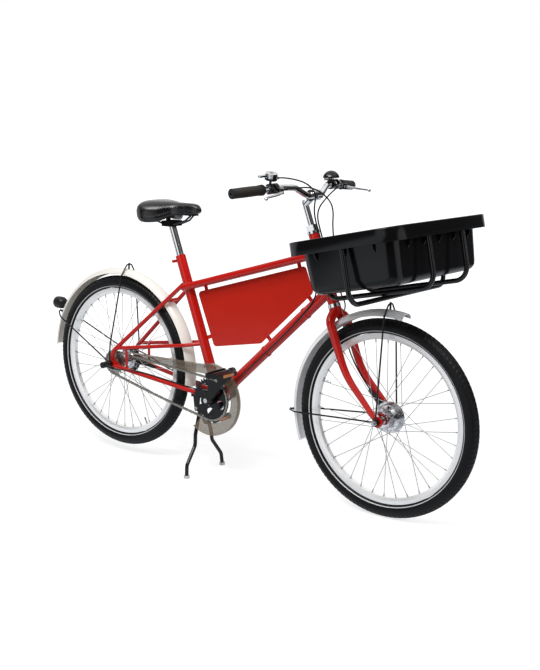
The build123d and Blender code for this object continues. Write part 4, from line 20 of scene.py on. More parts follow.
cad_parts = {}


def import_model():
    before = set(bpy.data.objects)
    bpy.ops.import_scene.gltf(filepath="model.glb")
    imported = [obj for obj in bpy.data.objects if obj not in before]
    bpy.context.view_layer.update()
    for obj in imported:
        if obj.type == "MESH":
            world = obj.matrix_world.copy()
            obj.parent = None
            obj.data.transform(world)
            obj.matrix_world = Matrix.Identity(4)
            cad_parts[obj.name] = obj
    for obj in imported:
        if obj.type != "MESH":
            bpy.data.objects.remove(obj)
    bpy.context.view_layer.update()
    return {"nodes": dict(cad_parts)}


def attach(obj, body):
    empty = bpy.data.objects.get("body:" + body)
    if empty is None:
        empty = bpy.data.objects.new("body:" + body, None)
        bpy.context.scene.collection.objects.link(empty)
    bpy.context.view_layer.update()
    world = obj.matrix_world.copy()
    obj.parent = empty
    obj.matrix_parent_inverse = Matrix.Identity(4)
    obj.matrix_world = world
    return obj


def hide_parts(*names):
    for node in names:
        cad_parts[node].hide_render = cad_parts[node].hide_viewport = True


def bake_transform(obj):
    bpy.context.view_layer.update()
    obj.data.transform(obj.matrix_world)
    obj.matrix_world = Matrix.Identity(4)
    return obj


LOG = logging.getLogger("delivery_bicycle")
Point = tuple[float, float, float]
Pair = tuple[float, float]
Ramp = tuple[float, float, float, float]
Rings = list[list[Vector]]
MERGE_DISTANCE = 1e-6
SHARP_ANGLE = 38.0
AHEAD, ACROSS, UPWARD = Vector((1, 0, 0)), Vector((0, 1, 0)), Vector((0, 0, 1))
REAR_AXLE = Vector((-0.407, 0.0, 0.366))
FRONT_AXLE = Vector((0.769, 0.0, 0.330))
BRACKET = Vector((0.069, 0.0, 0.295))


# Small tools for meshes


def add_object(name: str, data: Any) -> Object:
    """Put a mesh, curve, light or camera into the scene as an object at the origin.

    Args:
        name: The object's name.
        data: What it shows.

    Returns:
        The new object.
    """
    obj = bpy.data.objects.new(name, data)
    bpy.context.scene.collection.objects.link(obj)
    return obj


def evaluated_mesh(obj: Object) -> Mesh:
    """Return a plain mesh of what an object shows with its modifiers."""
    graph = bpy.context.evaluated_depsgraph_get()
    return bpy.data.meshes.new_from_object(obj.evaluated_get(graph), depsgraph=graph)


def close_mesh(bm: bmesh.types.BMesh, name: str, angle: float) -> Mesh:
    """Merge doubles, turn the faces outwards and make a mesh with smooth shading.

    Args:
        bm: The mesh under construction, which is freed.
        name: The name of the mesh.
        angle: Edges sharper than this many degrees stay sharp.

    Returns:
        The finished mesh.
    """
    bmesh.ops.remove_doubles(bm, verts=bm.verts, dist=MERGE_DISTANCE)
    bmesh.ops.recalc_face_normals(bm, faces=bm.faces)
    mesh = bpy.data.meshes.new(name)
    bm.to_mesh(mesh)
    bm.free()
    mesh.shade_smooth()
    mesh.set_sharp_from_angle(angle=math.radians(angle))
    return mesh


def add_rings(bm: bmesh.types.BMesh, rings: Sequence[Sequence[Vector]], loop: bool = False) -> None:
    """Join closed rings of points into a skin of quads, with flat ends unless it loops.

    Args:
        bm: The mesh that gets the skin.
        rings: Rings with the same number of points.
        loop: Whether the last ring joins the first.
    """
    rows = [[bm.verts.new(point) for point in ring] for ring in rings]
    pairs = list(zip(rows, rows[1:])) + ([(rows[-1], rows[0])] if loop else [])
    for one, two in pairs:
        for index, corner in enumerate(one):
            after = (index + 1) % len(one)
            bm.faces.new((corner, one[after], two[after], two[index]))
    if not loop:
        bm.faces.new(rows[0])
        bm.faces.new(rows[-1])


def skinned(name: str, skins: Sequence[Rings], angle: float = SHARP_ANGLE, loop: bool = False) -> Mesh:
    """Build a closed mesh from one or more skins.

    Args:
        name: The name of the mesh.
        skins: The rings of each skin in order.
        angle: Edges sharper than this many degrees stay sharp.
        loop: Whether the last ring of a skin joins its first.

    Returns:
        The finished mesh.
    """
    bm = bmesh.new()
    for rings in skins:
        add_rings(bm, rings, loop)
    return close_mesh(bm, name, angle)


def square_to(axis: Vector) -> tuple[Vector, Vector]:
    """Find two unit directions that are square to an axis and to each other.

    Args:
        axis: The axis.

    Returns:
        Both directions.
    """
    guide = UPWARD if abs(axis.normalized().z) < 0.9 else AHEAD
    one = axis.cross(guide).normalized()
    return one, axis.normalized().cross(one)


def turned_rings(profile: Sequence[Pair], origin: Vector, axis: Vector, steps: int) -> Rings:
    """Turn a profile about an axis.

    Args:
        profile: Points as (distance along the axis, radius).
        origin: A point on the axis.
        axis: The unit direction of the axis.
        steps: Points round each ring.

    Returns:
        One ring of points for each point of the profile.
    """
    one, two = square_to(axis)
    turns = [math.tau * step / steps for step in range(steps)]
    return [[origin + axis * along + (one * math.cos(turn) + two * math.sin(turn)) * radius
             for turn in turns] for along, radius in profile]


def swept_rings(points: Sequence[Vector], sizes: Sequence[Pair], guide: Vector, sides: int) -> Rings:
    """Carry an ellipse along a line of points.

    Args:
        points: The line.
        sizes: Half width along the guide and half height square to it, at each point.
        guide: The direction of the first ellipse's width.
        sides: Points round each ellipse.

    Returns:
        One ring of points for each point of the line.
    """
    rings = []
    turns = [math.tau * side / sides for side in range(sides)]
    for index, (point, (wide, high)) in enumerate(zip(points, sizes)):
        ahead = points[min(index + 1, len(points) - 1)] - points[max(index - 1, 0)]
        ahead.normalize()
        guide = (guide - ahead * guide.dot(ahead)).normalized()
        other = ahead.cross(guide)
        rings.append([point + guide * wide * math.cos(turn) + other * high * math.sin(turn)
                      for turn in turns])
    return rings


def add_line(name: str, kind: str, points: Sequence[Any]) -> Object:
    """Put a line of points into the scene as a curve.

    Args:
        name: The line's name.
        kind: The kind of its spline.
        points: The points in order.

    Returns:
        The curve as an object.
    """
    curve = bpy.data.curves.new(name, "CURVE")
    curve.dimensions = "3D"
    spline = curve.splines.new(kind)
    spline.points.add(len(points) - 1)
    for control, place in zip(spline.points, points):
        control.co = (*place, 1.0)
    return add_object(name, curve)


def line_of_route(route: Sequence[Any], fineness: int = 8) -> list[Vector]:
    """Read the points of the smooth line that a route's points pull into shape.

    Args:
        route: The control points.
        fineness: Points for each stretch of the line.

    Returns:
        The line's points in order.
    """
    holder = add_line("route", "NURBS", route)
    spline = holder.data.splines[0]
    spline.order_u = 3
    spline.use_endpoint_u = True
    spline.resolution_u = fineness
    mesh = evaluated_mesh(holder)
    points = [vertex.co.copy() for vertex in mesh.vertices]
    bpy.data.objects.remove(holder)
    bpy.data.meshes.remove(mesh)
    return points


# Nodes


class NodeSheet:
    """Adds and joins the nodes of one tree by short calls."""

    def __init__(self, tree: NodeTree) -> None:
        """Keep the tree that is being filled."""
        self.tree = tree

    def add(self, kind: str, inputs: dict[Any, Any] | None = None, **settings: Any) -> Node:
        """Add a node, set it up and join or set its inputs.

        Args:
            kind: The node's type.
            inputs: Values, or sockets to join, by input name or number.
            **settings: Properties of the node.

        Returns:
            The node.
        """
        node = self.tree.nodes.new(kind)
        for name, value in settings.items():
            setattr(node, name, value)
        for key, value in (inputs or {}).items():
            if isinstance(value, NodeSocket):
                self.tree.links.new(value, node.inputs[key])
            else:
                node.inputs[key].default_value = value
        return node

    def group(self, tree: NodeTree, inputs: dict[str, Any]) -> Any:
        """Add a shader group and return its outputs."""
        return self.add("ShaderNodeGroup", inputs, node_tree=tree).outputs

    def math(self, operation: str, one: Any, two: Any = 0.0) -> NodeSocket:
        """Add a Math node and return its result."""
        return self.add("ShaderNodeMath", {0: one, 1: two}, operation=operation).outputs[0]

    def vector(self, operation: str, inputs: dict[Any, Any]) -> Any:
        """Add a Vector Math node and return its outputs."""
        return self.add("ShaderNodeVectorMath", inputs, operation=operation).outputs

    def range(self, value: Any, low: float, high: float, start: float, end: float) -> NodeSocket:
        """Lead a value's range smoothly to another range and return the result."""
        return self.add("ShaderNodeMapRange", {0: value, 1: low, 2: high, 3: start, 4: end},
                        interpolation_type="SMOOTHSTEP").outputs[0]

    def mixed(self, share: Any, one: Node, two: Node) -> Node:
        """Mix two shaders by a share and return the node."""
        return self.add("ShaderNodeMixShader", {0: share, 1: one.outputs[0], 2: two.outputs[0]})


def cleared(owner: Any) -> NodeSheet:
    """Empty the nodes of a material or a world.

    Args:
        owner: The material or the world.

    Returns:
        Its sheet.
    """
    owner.use_nodes = True
    owner.node_tree.nodes.clear()
    return NodeSheet(owner.node_tree)


class TreeKind(Enum):
    """Kinds of node groups."""

    SHADER = "ShaderNodeTree"
    GEOMETRY = "GeometryNodeTree"


class SocketKind(Enum):
    """Kinds of the groups' sockets."""

    FLOAT = "NodeSocketFloat"
    COUNT = "NodeSocketInt"
    PLACE = "NodeSocketVector"
    COLOR = "NodeSocketColor"
    OBJECT = "NodeSocketObject"
    MATERIAL = "NodeSocketMaterial"
    GEOMETRY = "NodeSocketGeometry"


SOCKET_KINDS: dict[str, SocketKind] = {
    **dict.fromkeys(("Vector", "Centre", "Start", "Step"), SocketKind.PLACE),
    **dict.fromkeys(("Copy", "Path", "Even", "Odd"), SocketKind.OBJECT),
    "Count": SocketKind.COUNT, "Color": SocketKind.COLOR, "Material": SocketKind.MATERIAL,
    "Geometry": SocketKind.GEOMETRY}


class GroupSheet(NodeSheet):
    """The sheet of a node group with named inputs and outputs."""

    def __init__(self, name: str, kind: TreeKind, *inputs: str) -> None:
        """Make the group.

        Args:
            name: The group's name.
            kind: The kind of group.
            *inputs: Names of its inputs.
        """
        super().__init__(bpy.data.node_groups.new(name, kind.value))
        self.add_sockets("INPUT", inputs)
        self.given = self.add("NodeGroupInput").outputs

    def add_sockets(self, way: str, titles: Sequence[str]) -> None:
        """Add sockets to the group; those without a kind of their own are plain values.

        Args:
            way: INPUT or OUTPUT.
            titles: The sockets' names.
        """
        for title in titles:
            kind = SOCKET_KINDS.get(title, SocketKind.FLOAT)
            self.tree.interface.new_socket(name=title, in_out=way, socket_type=kind.value)

    def end(self, results: dict[str, NodeSocket]) -> NodeTree:
        """Lead the results out of the group.

        Args:
            results: Sockets by the name of the output.

        Returns:
            The group's tree.
        """
        self.add_sockets("OUTPUT", list(results))
        self.add("NodeGroupOutput", results)
        return self.tree


class ShaderGroups:
    """The shader groups that several finishes share."""

    def __init__(self) -> None:
        """Build every group once."""
        self.grain = self.fine_grain()
        self.rings = self.turned_lines()
        self.dust = self.settled_dust()
        self.pebble = self.leather_pebble()

    @staticmethod
    def fine_grain() -> NodeTree:
        """Build the group for soft tone changes, uneven gloss and a fine grain's height.

        Returns:
            The group's tree.
        """
        sheet = GroupSheet("fine_grain", TreeKind.SHADER, "Vector", "Color", "Tone", "Coarse", "Fine",
                           "Roughness", "Spread")
        given = sheet.given
        cloud, speck = (
            sheet.add("ShaderNodeTexNoise", {
                "Vector": given["Vector"], "Scale": given[size], "Detail": detail})
            for size, detail in (("Coarse", 3.0), ("Fine", 2.0)))
        swing = sheet.math("SUBTRACT", cloud.outputs[0], 0.5)
        bright = sheet.math("ADD", sheet.math("MULTIPLY", swing, given["Tone"]), 1.0)
        tinted = sheet.vector("SCALE", {0: given["Color"], "Scale": bright})
        rough = sheet.math("ADD", given["Roughness"], sheet.math("MULTIPLY", swing, given["Spread"]))
        return sheet.end({"Color": tinted[0], "Roughness": rough, "Height": speck.outputs[0]})

    @staticmethod
    def turned_lines() -> NodeTree:
        """Build the group for the fine round lines that turning leaves about a sideways axle.

        Returns:
            The group's tree.
        """
        sheet = GroupSheet("turned_lines", TreeKind.SHADER, "Vector", "Pitch")
        flat = sheet.vector("MULTIPLY", {0: sheet.given["Vector"], 1: (1.0, 0.0, 1.0)})
        reach = sheet.vector("LENGTH", {0: flat[0]})
        turns = sheet.math("DIVIDE", reach["Value"], sheet.given["Pitch"])
        return sheet.end({"Height": sheet.math("SINE", sheet.math("MULTIPLY", turns, math.tau))})

    @staticmethod
    def settled_dust() -> NodeTree:
        """Build the group for a thin film of dust on faces that look up.

        Returns:
            The group's tree.
        """
        sheet = GroupSheet("settled_dust", TreeKind.SHADER, "Vector", "Color", "Amount")
        given = sheet.given
        facing = sheet.add("ShaderNodeNewGeometry")
        parts = sheet.add("ShaderNodeSeparateXYZ", {0: facing.outputs["Normal"]})
        upward = sheet.math("POWER", sheet.math("MAXIMUM", parts.outputs["Z"], 0.0), 1.5)
        drift = sheet.add("ShaderNodeTexNoise", {"Vector": given["Vector"], "Scale": 22.0, "Detail": 4.0})
        mask = sheet.math("MULTIPLY", sheet.math("MULTIPLY", upward, drift.outputs[0]), given["Amount"])
        gray = (0.42, 0.40, 0.37, 1.0)
        dusty = sheet.add("ShaderNodeMix", {0: mask, 6: given["Color"], 7: gray}, data_type="RGBA")
        return sheet.end({"Color": dusty.outputs[2]})

    @staticmethod
    def leather_pebble() -> NodeTree:
        """Build the group for a pebbled cover: rounded cells with creases between them.

        Returns:
            The group's tree.
        """
        sheet = GroupSheet("leather_pebble", TreeKind.SHADER, "Vector", "Scale")
        cells = sheet.add("ShaderNodeTexVoronoi", {
            "Vector": sheet.given["Vector"], "Scale": sheet.given["Scale"], "Randomness": 0.9},
            feature="DISTANCE_TO_EDGE")
        return sheet.end({"Height": sheet.range(cells.outputs[0], 0.0, 0.35, 0.0, 1.0)})


# Finishes


class Detail(Enum):
    """What the surface of a finish shows close up."""

    GRAIN = "grain"
    RINGS = "rings"
    PEBBLE = "pebble"


@dataclass(frozen=True)
class Finish:
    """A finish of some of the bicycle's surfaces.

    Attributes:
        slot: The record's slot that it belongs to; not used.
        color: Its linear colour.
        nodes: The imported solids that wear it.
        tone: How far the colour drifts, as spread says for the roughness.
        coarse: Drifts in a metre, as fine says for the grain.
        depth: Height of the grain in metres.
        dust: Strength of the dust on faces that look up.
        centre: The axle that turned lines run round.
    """

    name: str
    slot: str
    color: Point
    roughness: float
    nodes: tuple[str, ...] = ()
    metallic: float = 0.0
    coat: float = 0.0
    specular: float = 0.5
    tone: float = 0.12
    spread: float = 0.08
    coarse: float = 14.0
    fine: float = 900.0
    depth: float = 0.00005
    dust: float = 0.0
    alpha: float = 1.0
    detail: Detail = Detail.GRAIN
    centre: Point = (0.0, 0.0, 0.0)

    def build(self, groups: ShaderGroups) -> Material:
        """Build the material's nodes.

        Args:
            groups: The shared shader groups.

        Returns:
            The material.
        """
        material = bpy.data.materials.new(self.name)
        sheet = cleared(material)
        place = sheet.add("ShaderNodeTexCoord").outputs["Object"]
        grain = sheet.group(groups.grain, {
            "Vector": place, "Color": (*self.color, 1.0), "Tone": self.tone, "Coarse": self.coarse,
            "Fine": self.fine, "Roughness": self.roughness, "Spread": self.spread})
        color, height = grain["Color"], grain["Height"]
        if self.detail is Detail.RINGS:
            away = tuple(-x for x in self.centre)
            moved = sheet.add("ShaderNodeMapping", {"Vector": place, "Location": away}).outputs[0]
            height = sheet.group(groups.rings, {"Vector": moved, "Pitch": 1.0 / self.fine})["Height"]
        if self.detail is Detail.PEBBLE:
            height = sheet.group(groups.pebble, {"Vector": place, "Scale": self.fine})["Height"]
        if self.dust > 0.0:
            film = {"Vector": place, "Color": color, "Amount": self.dust}
            color = sheet.group(groups.dust, film)["Color"]
        bump = sheet.add("ShaderNodeBump", {"Strength": 1.0, "Distance": self.depth, "Height": height})
        shader = sheet.add("ShaderNodeBsdfPrincipled", {
            "Base Color": color, "Roughness": grain["Roughness"], "Metallic": self.metallic,
            "Specular IOR Level": self.specular, "Coat Weight": self.coat, "Coat Roughness": 0.06,
            "Alpha": self.alpha, "Normal": bump.outputs[0]})
        sheet.add("ShaderNodeOutputMaterial", {"Surface": shader.outputs[0]})
        return material


class Finishes(Enum):
    """Every finish on the bicycle."""

    RED = Finish(
        "red_enamel", "red_paint", (0.53, 0.010, 0.006), 0.08,
        ("main_frame", "rear_triangle", "fork", "frame_bolts"),
        specular=0.42, tone=0.10, spread=0.04, fine=420.0, depth=0.00003)
    PANEL = Finish(
        "red_panel", "red_paint", (0.54, 0.017, 0.007), 0.16, ("frame_panel",),
        spread=0.06, coarse=5.0, fine=7.0, depth=0.0016)
    CHROME = Finish(
        "chrome_plate", "chrome", (0.82, 0.82, 0.83), 0.07,
        ("seatpost", "stem", "handlebar", "crank_axle", "pedal_spindles", "bearing_cups", "headset_nuts"),
        metallic=1.0, tone=0.06, spread=0.05)
    STEEL = Finish(
        "plated_steel", "steel", (0.52, 0.52, 0.53), 0.26, ("rear_axle", "front_axle", "stand_pivot"),
        metallic=1.0, tone=0.2, spread=0.16)
    SPOKE = Finish(
        "spoke_wire", "spoke_steel", (0.40, 0.40, 0.41), 0.34, ("front_spokes", "rear_spokes"),
        metallic=0.6, tone=0.15, spread=0.1)
    CHAIN = Finish(
        "oiled_chain", "steel", (0.40, 0.38, 0.34), 0.34, ("chain", "rear_sprocket"),
        metallic=1.0, tone=0.5, spread=0.25, coarse=60.0)
    BRIGHT = Finish(
        "polished_alloy", "alloy", (0.70, 0.70, 0.71), 0.16,
        ("shifter_lever", "bell_lever", "right_brake_lever", "left_brake_lever"),
        metallic=1.0, tone=0.1, spread=0.1)
    FRONT_RIM = Finish(
        "front_rim_alloy", "alloy", (0.97, 0.97, 0.98), 0.26, ("front_rim",),
        metallic=0.45, tone=0.05, fine=1500.0, depth=0.00001, detail=Detail.RINGS, centre=tuple(FRONT_AXLE))
    REAR_RIM = replace(FRONT_RIM, name="rear_rim_alloy", nodes=("rear_rim",), centre=tuple(REAR_AXLE))
    FRONT_HUB = replace(
        FRONT_RIM, name="front_hub_alloy", color=(0.78, 0.78, 0.79), roughness=0.14, nodes=("front_hub",),
        metallic=1.0, spread=0.05, fine=700.0)
    REAR_HUB = replace(FRONT_HUB, name="rear_hub_alloy", nodes=("rear_hub",), centre=tuple(REAR_AXLE))
    BLACK = Finish(
        "black_enamel", "black_paint", (0.005, 0.005, 0.0055), 0.16,
        ("tray_carrier", "rear_mudguard_stays", "front_mudguard_stays", "stand_legs", "stand_bracket",
         "crank_arms", "chainring", "saddle_rails", "saddle_clamp", "lever_brackets", "gear_shift_box",
         "front_brake_plate"), specular=0.4, tone=0.3)
    TRAY = Finish(
        "tray_plastic", "black_plastic", (0.004, 0.004, 0.0045), 0.15, ("tray",),
        specular=0.27, tone=0.3, spread=0.04, coarse=8.0, fine=1500.0, depth=0.000008, dust=0.004)
    PLASTIC = Finish(
        "black_plastic", "black_plastic", (0.006, 0.006, 0.0065), 0.34,
        ("rear_lamp", "rear_brake_plate", "left_pedal", "right_pedal", "saddle_base", "shifter_body"),
        specular=0.35, tone=0.3, fine=1400.0, depth=0.00003, dust=0.004)
    BELL = Finish(
        "black_bell", "gloss_black", (0.003, 0.003, 0.0035), 0.06, ("bell",), tone=0.2, spread=0.04)
    # Both mudguards are one silver-white plastic. The rear guard's warm cream tint is painted warm light
    # from the floor, and its pale base is painted light from the white surround.
    WHITE = Finish("cream_guard", "white_paint", (0.93, 0.90, 0.84), 0.20, ("rear_mudguard",), tone=0.06)
    # The front guard's bluish tint is painted bluish shade, and its pale base is painted light that stands
    # in for the light lost in the tray's shade.
    SILVER = Finish("silver_guard", "silver_paint", (0.95, 0.97, 1.0), 0.22, ("front_mudguard",), tone=0.08)
    LENS = Finish(
        "red_lens", "red_lens", (0.10, 0.004, 0.005), 0.10, ("rear_lamp_lens",),
        coat=1.0, tone=0.2, fine=500.0, depth=0.0003)
    AMBER = Finish(
        "amber_lens", "smoke_plastic", (0.62, 0.20, 0.02), 0.14,
        coat=1.0, tone=0.2, fine=420.0, depth=0.0004, detail=Detail.PEBBLE)
    SMOKE = Finish(
        "smoky_guard", "smoke_plastic", (0.25, 0.20, 0.14), 0.12, ("chain_guard",), tone=0.08, alpha=0.58)
    CABLE = Finish(
        "cable_casing", "cable", (0.005, 0.005, 0.0055), 0.32,
        ("frame_cables", "bar_cables", "front_brake_cable"), specular=0.35, tone=0.2)
    LEATHER = Finish(
        "saddle_cover", "saddle_cover", (0.0055, 0.0055, 0.006), 0.19, ("saddle_cushion",),
        specular=0.55, tone=0.3, spread=0.12, coarse=30.0, detail=Detail.PEBBLE)
    THREAD = Finish("saddle_thread", "saddle_cover", (0.02, 0.02, 0.021), 0.6, specular=0.3)
    RUBBER = Finish(
        "black_rubber", "rubber", (0.009, 0.009, 0.009), 0.55, ("saddle_bumpers",),
        specular=0.3, tone=0.3, fine=1200.0, depth=0.00012, dust=0.01)
    PALE = Finish(
        "pale_feet", "pale_rubber", (0.66, 0.65, 0.62), 0.5, ("stand_feet",), specular=0.3, tone=0.2)
    GRIP = Finish(
        "grip_rubber", "rubber", (0.020, 0.016, 0.012), 0.48, ("grips",),
        specular=0.3, tone=0.3, fine=1300.0, depth=0.00016, dust=0.01, detail=Detail.PEBBLE)
    TYRE = Finish(
        "tyre_rubber", "tyre", (0.006, 0.006, 0.007), 0.38, ("front_tyre", "rear_tyre"),
        specular=0.18, tone=0.4, spread=0.15, coarse=30.0, fine=1100.0, depth=0.00006, dust=0.003)
    STRIPE = Finish(
        "tyre_stripe", "tyre", (0.62, 0.63, 0.64), 0.35, tone=0.1, fine=1600.0, depth=0.0001)


class Paintbox:
    """Holds the built materials and puts them on pieces."""

    def __init__(self) -> None:
        """Build the shared groups and every material."""
        groups = ShaderGroups()
        self.materials = {finish: finish.value.build(groups) for finish in Finishes}

    def dress_nodes(self, nodes: dict[str, Object]) -> None:
        """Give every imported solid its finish.

        Args:
            nodes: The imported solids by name.
        """
        for finish, material in self.materials.items():
            for name in finish.value.nodes:
                nodes[name].data.materials.clear()
                nodes[name].data.materials.append(material)

    def dress(self, piece: Object, finish: Finishes, body: str, *stands_for: str) -> Object:
        """Give a new piece its finish, its body and the solids that it stands for.

        Args:
            piece: The new piece.
            finish: Its finish.
            body: The body that it rides on.
            *stands_for: Names of solids that it replaces.

        Returns:
            The piece.
        """
        if not piece.data.materials:
            piece.data.materials.append(self.materials[finish])
        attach(piece, body)
        if stands_for:
            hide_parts(*stands_for)
        LOG.info("made %s on %s", piece.name, body)
        return piece

    def show(self, name: str, mesh: Mesh, finish: Finishes, body: str, *stands_for: str) -> None:
        """Put a mesh into the scene as a dressed piece."""
        self.dress(add_object(name, mesh), finish, body, *stands_for)


# Geometry node trees for what repeats


class RepeatTrees:
    """Geometry node trees that repeat a small mesh round an axle, along a row or along a path."""

    def __init__(self, paint: Paintbox) -> None:
        """Build every tree once and keep the finishes.

        Args:
            paint: The finishes.
        """
        self.paint = paint
        self.round_axle = self.build_round_axle()
        self.in_row = self.build_row()
        self.on_path = self.build_path()

    @staticmethod
    def line_of_spots(sheet: GroupSheet, start: Any, step: Any) -> NodeSocket:
        """Add a straight line of points and return it."""
        return sheet.add("GeometryNodeMeshLine", {
            "Count": sheet.given["Count"], "Start Location": start, "Offset": step}).outputs[0]

    @staticmethod
    def copies(sheet: GroupSheet, title: str, placing: dict[str, Any]) -> NodeSocket:
        """Set copies of an object on points.

        Args:
            sheet: The tree's sheet.
            title: The tree's input with the object.
            placing: The points, and what turns or chooses among the copies.

        Returns:
            The copies.
        """
        copy = sheet.add("GeometryNodeObjectInfo", {"Object": sheet.given[title]})
        placing = {**placing, "Instance": copy.outputs["Geometry"]}
        return sheet.add("GeometryNodeInstanceOnPoints", placing).outputs[0]

    @staticmethod
    def end(sheet: GroupSheet, copies: NodeSocket) -> NodeTree:
        """Turn copies into plain mesh, set their material and end the tree.

        Args:
            sheet: The tree's sheet.
            copies: The copies.

        Returns:
            The tree.
        """
        real = sheet.add("GeometryNodeRealizeInstances", {0: copies})
        dressed = sheet.add("GeometryNodeSetMaterial", {
            "Geometry": real.outputs[0], "Material": sheet.given["Material"]})
        return sheet.end({"Geometry": dressed.outputs[0]})

    @classmethod
    def build_round_axle(cls) -> NodeTree:
        """Build the tree that repeats a mesh at even angles about a sideways axle.

        Returns:
            The tree.
        """
        sheet = GroupSheet("copies_round_axle", TreeKind.GEOMETRY, "Copy", "Count", "Centre", "First",
                           "Material")
        spots = cls.line_of_spots(sheet, sheet.given["Centre"], (0.0, 0.0, 0.0))
        step = sheet.math("DIVIDE", math.tau, sheet.given["Count"])
        index = sheet.add("GeometryNodeInputIndex").outputs[0]
        angle = sheet.math("ADD", sheet.math("MULTIPLY", index, step), sheet.given["First"])
        turn = sheet.add("ShaderNodeCombineXYZ", {"Y": angle})
        return cls.end(sheet, cls.copies(sheet, "Copy", {"Points": spots, "Rotation": turn.outputs[0]}))

    @classmethod
    def build_row(cls) -> NodeTree:
        """Build the tree that repeats a mesh along a straight row.

        Returns:
            The tree.
        """
        sheet = GroupSheet("copies_in_row", TreeKind.GEOMETRY, "Copy", "Count", "Start", "Step", "Material")
        spots = cls.line_of_spots(sheet, sheet.given["Start"], sheet.given["Step"])
        return cls.end(sheet, cls.copies(sheet, "Copy", {"Points": spots}))

    @classmethod
    def build_path(cls) -> NodeTree:
        """Build the tree that sets two kinds of links by turns along a path in an upright plane.

        Returns:
            The tree.
        """
        sheet = GroupSheet("links_on_path", TreeKind.GEOMETRY, "Path", "Even", "Odd", "Count", "Material")
        path = sheet.add("GeometryNodeObjectInfo", {"Object": sheet.given["Path"]})
        spots = sheet.add("GeometryNodeResampleCurve", {
            "Curve": path.outputs["Geometry"], "Count": sheet.given["Count"]}, mode="COUNT")
        ahead = sheet.add("GeometryNodeInputTangent")
        turn = sheet.add("FunctionNodeAxesToRotation", {0: ahead.outputs[0], 1: tuple(ACROSS)},
                         primary_axis="X", secondary_axis="Y")
        odd = sheet.math("MODULO", sheet.add("GeometryNodeInputIndex").outputs[0], 2.0)
        even = sheet.math("SUBTRACT", 1.0, odd)
        joined = sheet.add("GeometryNodeJoinGeometry")
        for title, chosen in (("Even", even), ("Odd", odd)):
            links = cls.copies(sheet, title, {
                "Points": spots.outputs[0], "Selection": chosen, "Rotation": turn.outputs[0]})
            sheet.tree.links.new(links, joined.inputs[0])
        return cls.end(sheet, joined.outputs[0])

    def run(self, tree: NodeTree, name: str, values: dict[str, Any], finish: Finishes, body: str,
            *stands_for: str) -> None:
        """Run a tree, keep its result as a plain mesh and dress it.

        Args:
            tree: The tree.
            name: The name of the piece.
            values: The tree's inputs by name, apart from the material; objects among them are used up.
            finish: The piece's finish.
            body: The body that it rides on.
            *stands_for: Names of solids that it replaces.
        """
        piece = add_object(name, bpy.data.meshes.new(name))
        modifier = piece.modifiers.new("repeat", "NODES")
        modifier.node_group = tree
        values = {**values, "Material": self.paint.materials[finish]}
        for item in tree.interface.items_tree:
            if item.in_out == "INPUT":
                modifier[item.identifier] = values[item.name]
        mesh = evaluated_mesh(piece)
        piece.modifiers.clear()
        piece.data = mesh
        mesh.name = name
        for value in values.values():
            if isinstance(value, Object):
                bpy.data.objects.remove(value)
        self.paint.dress(piece, finish, body, *stands_for)


# Wheels


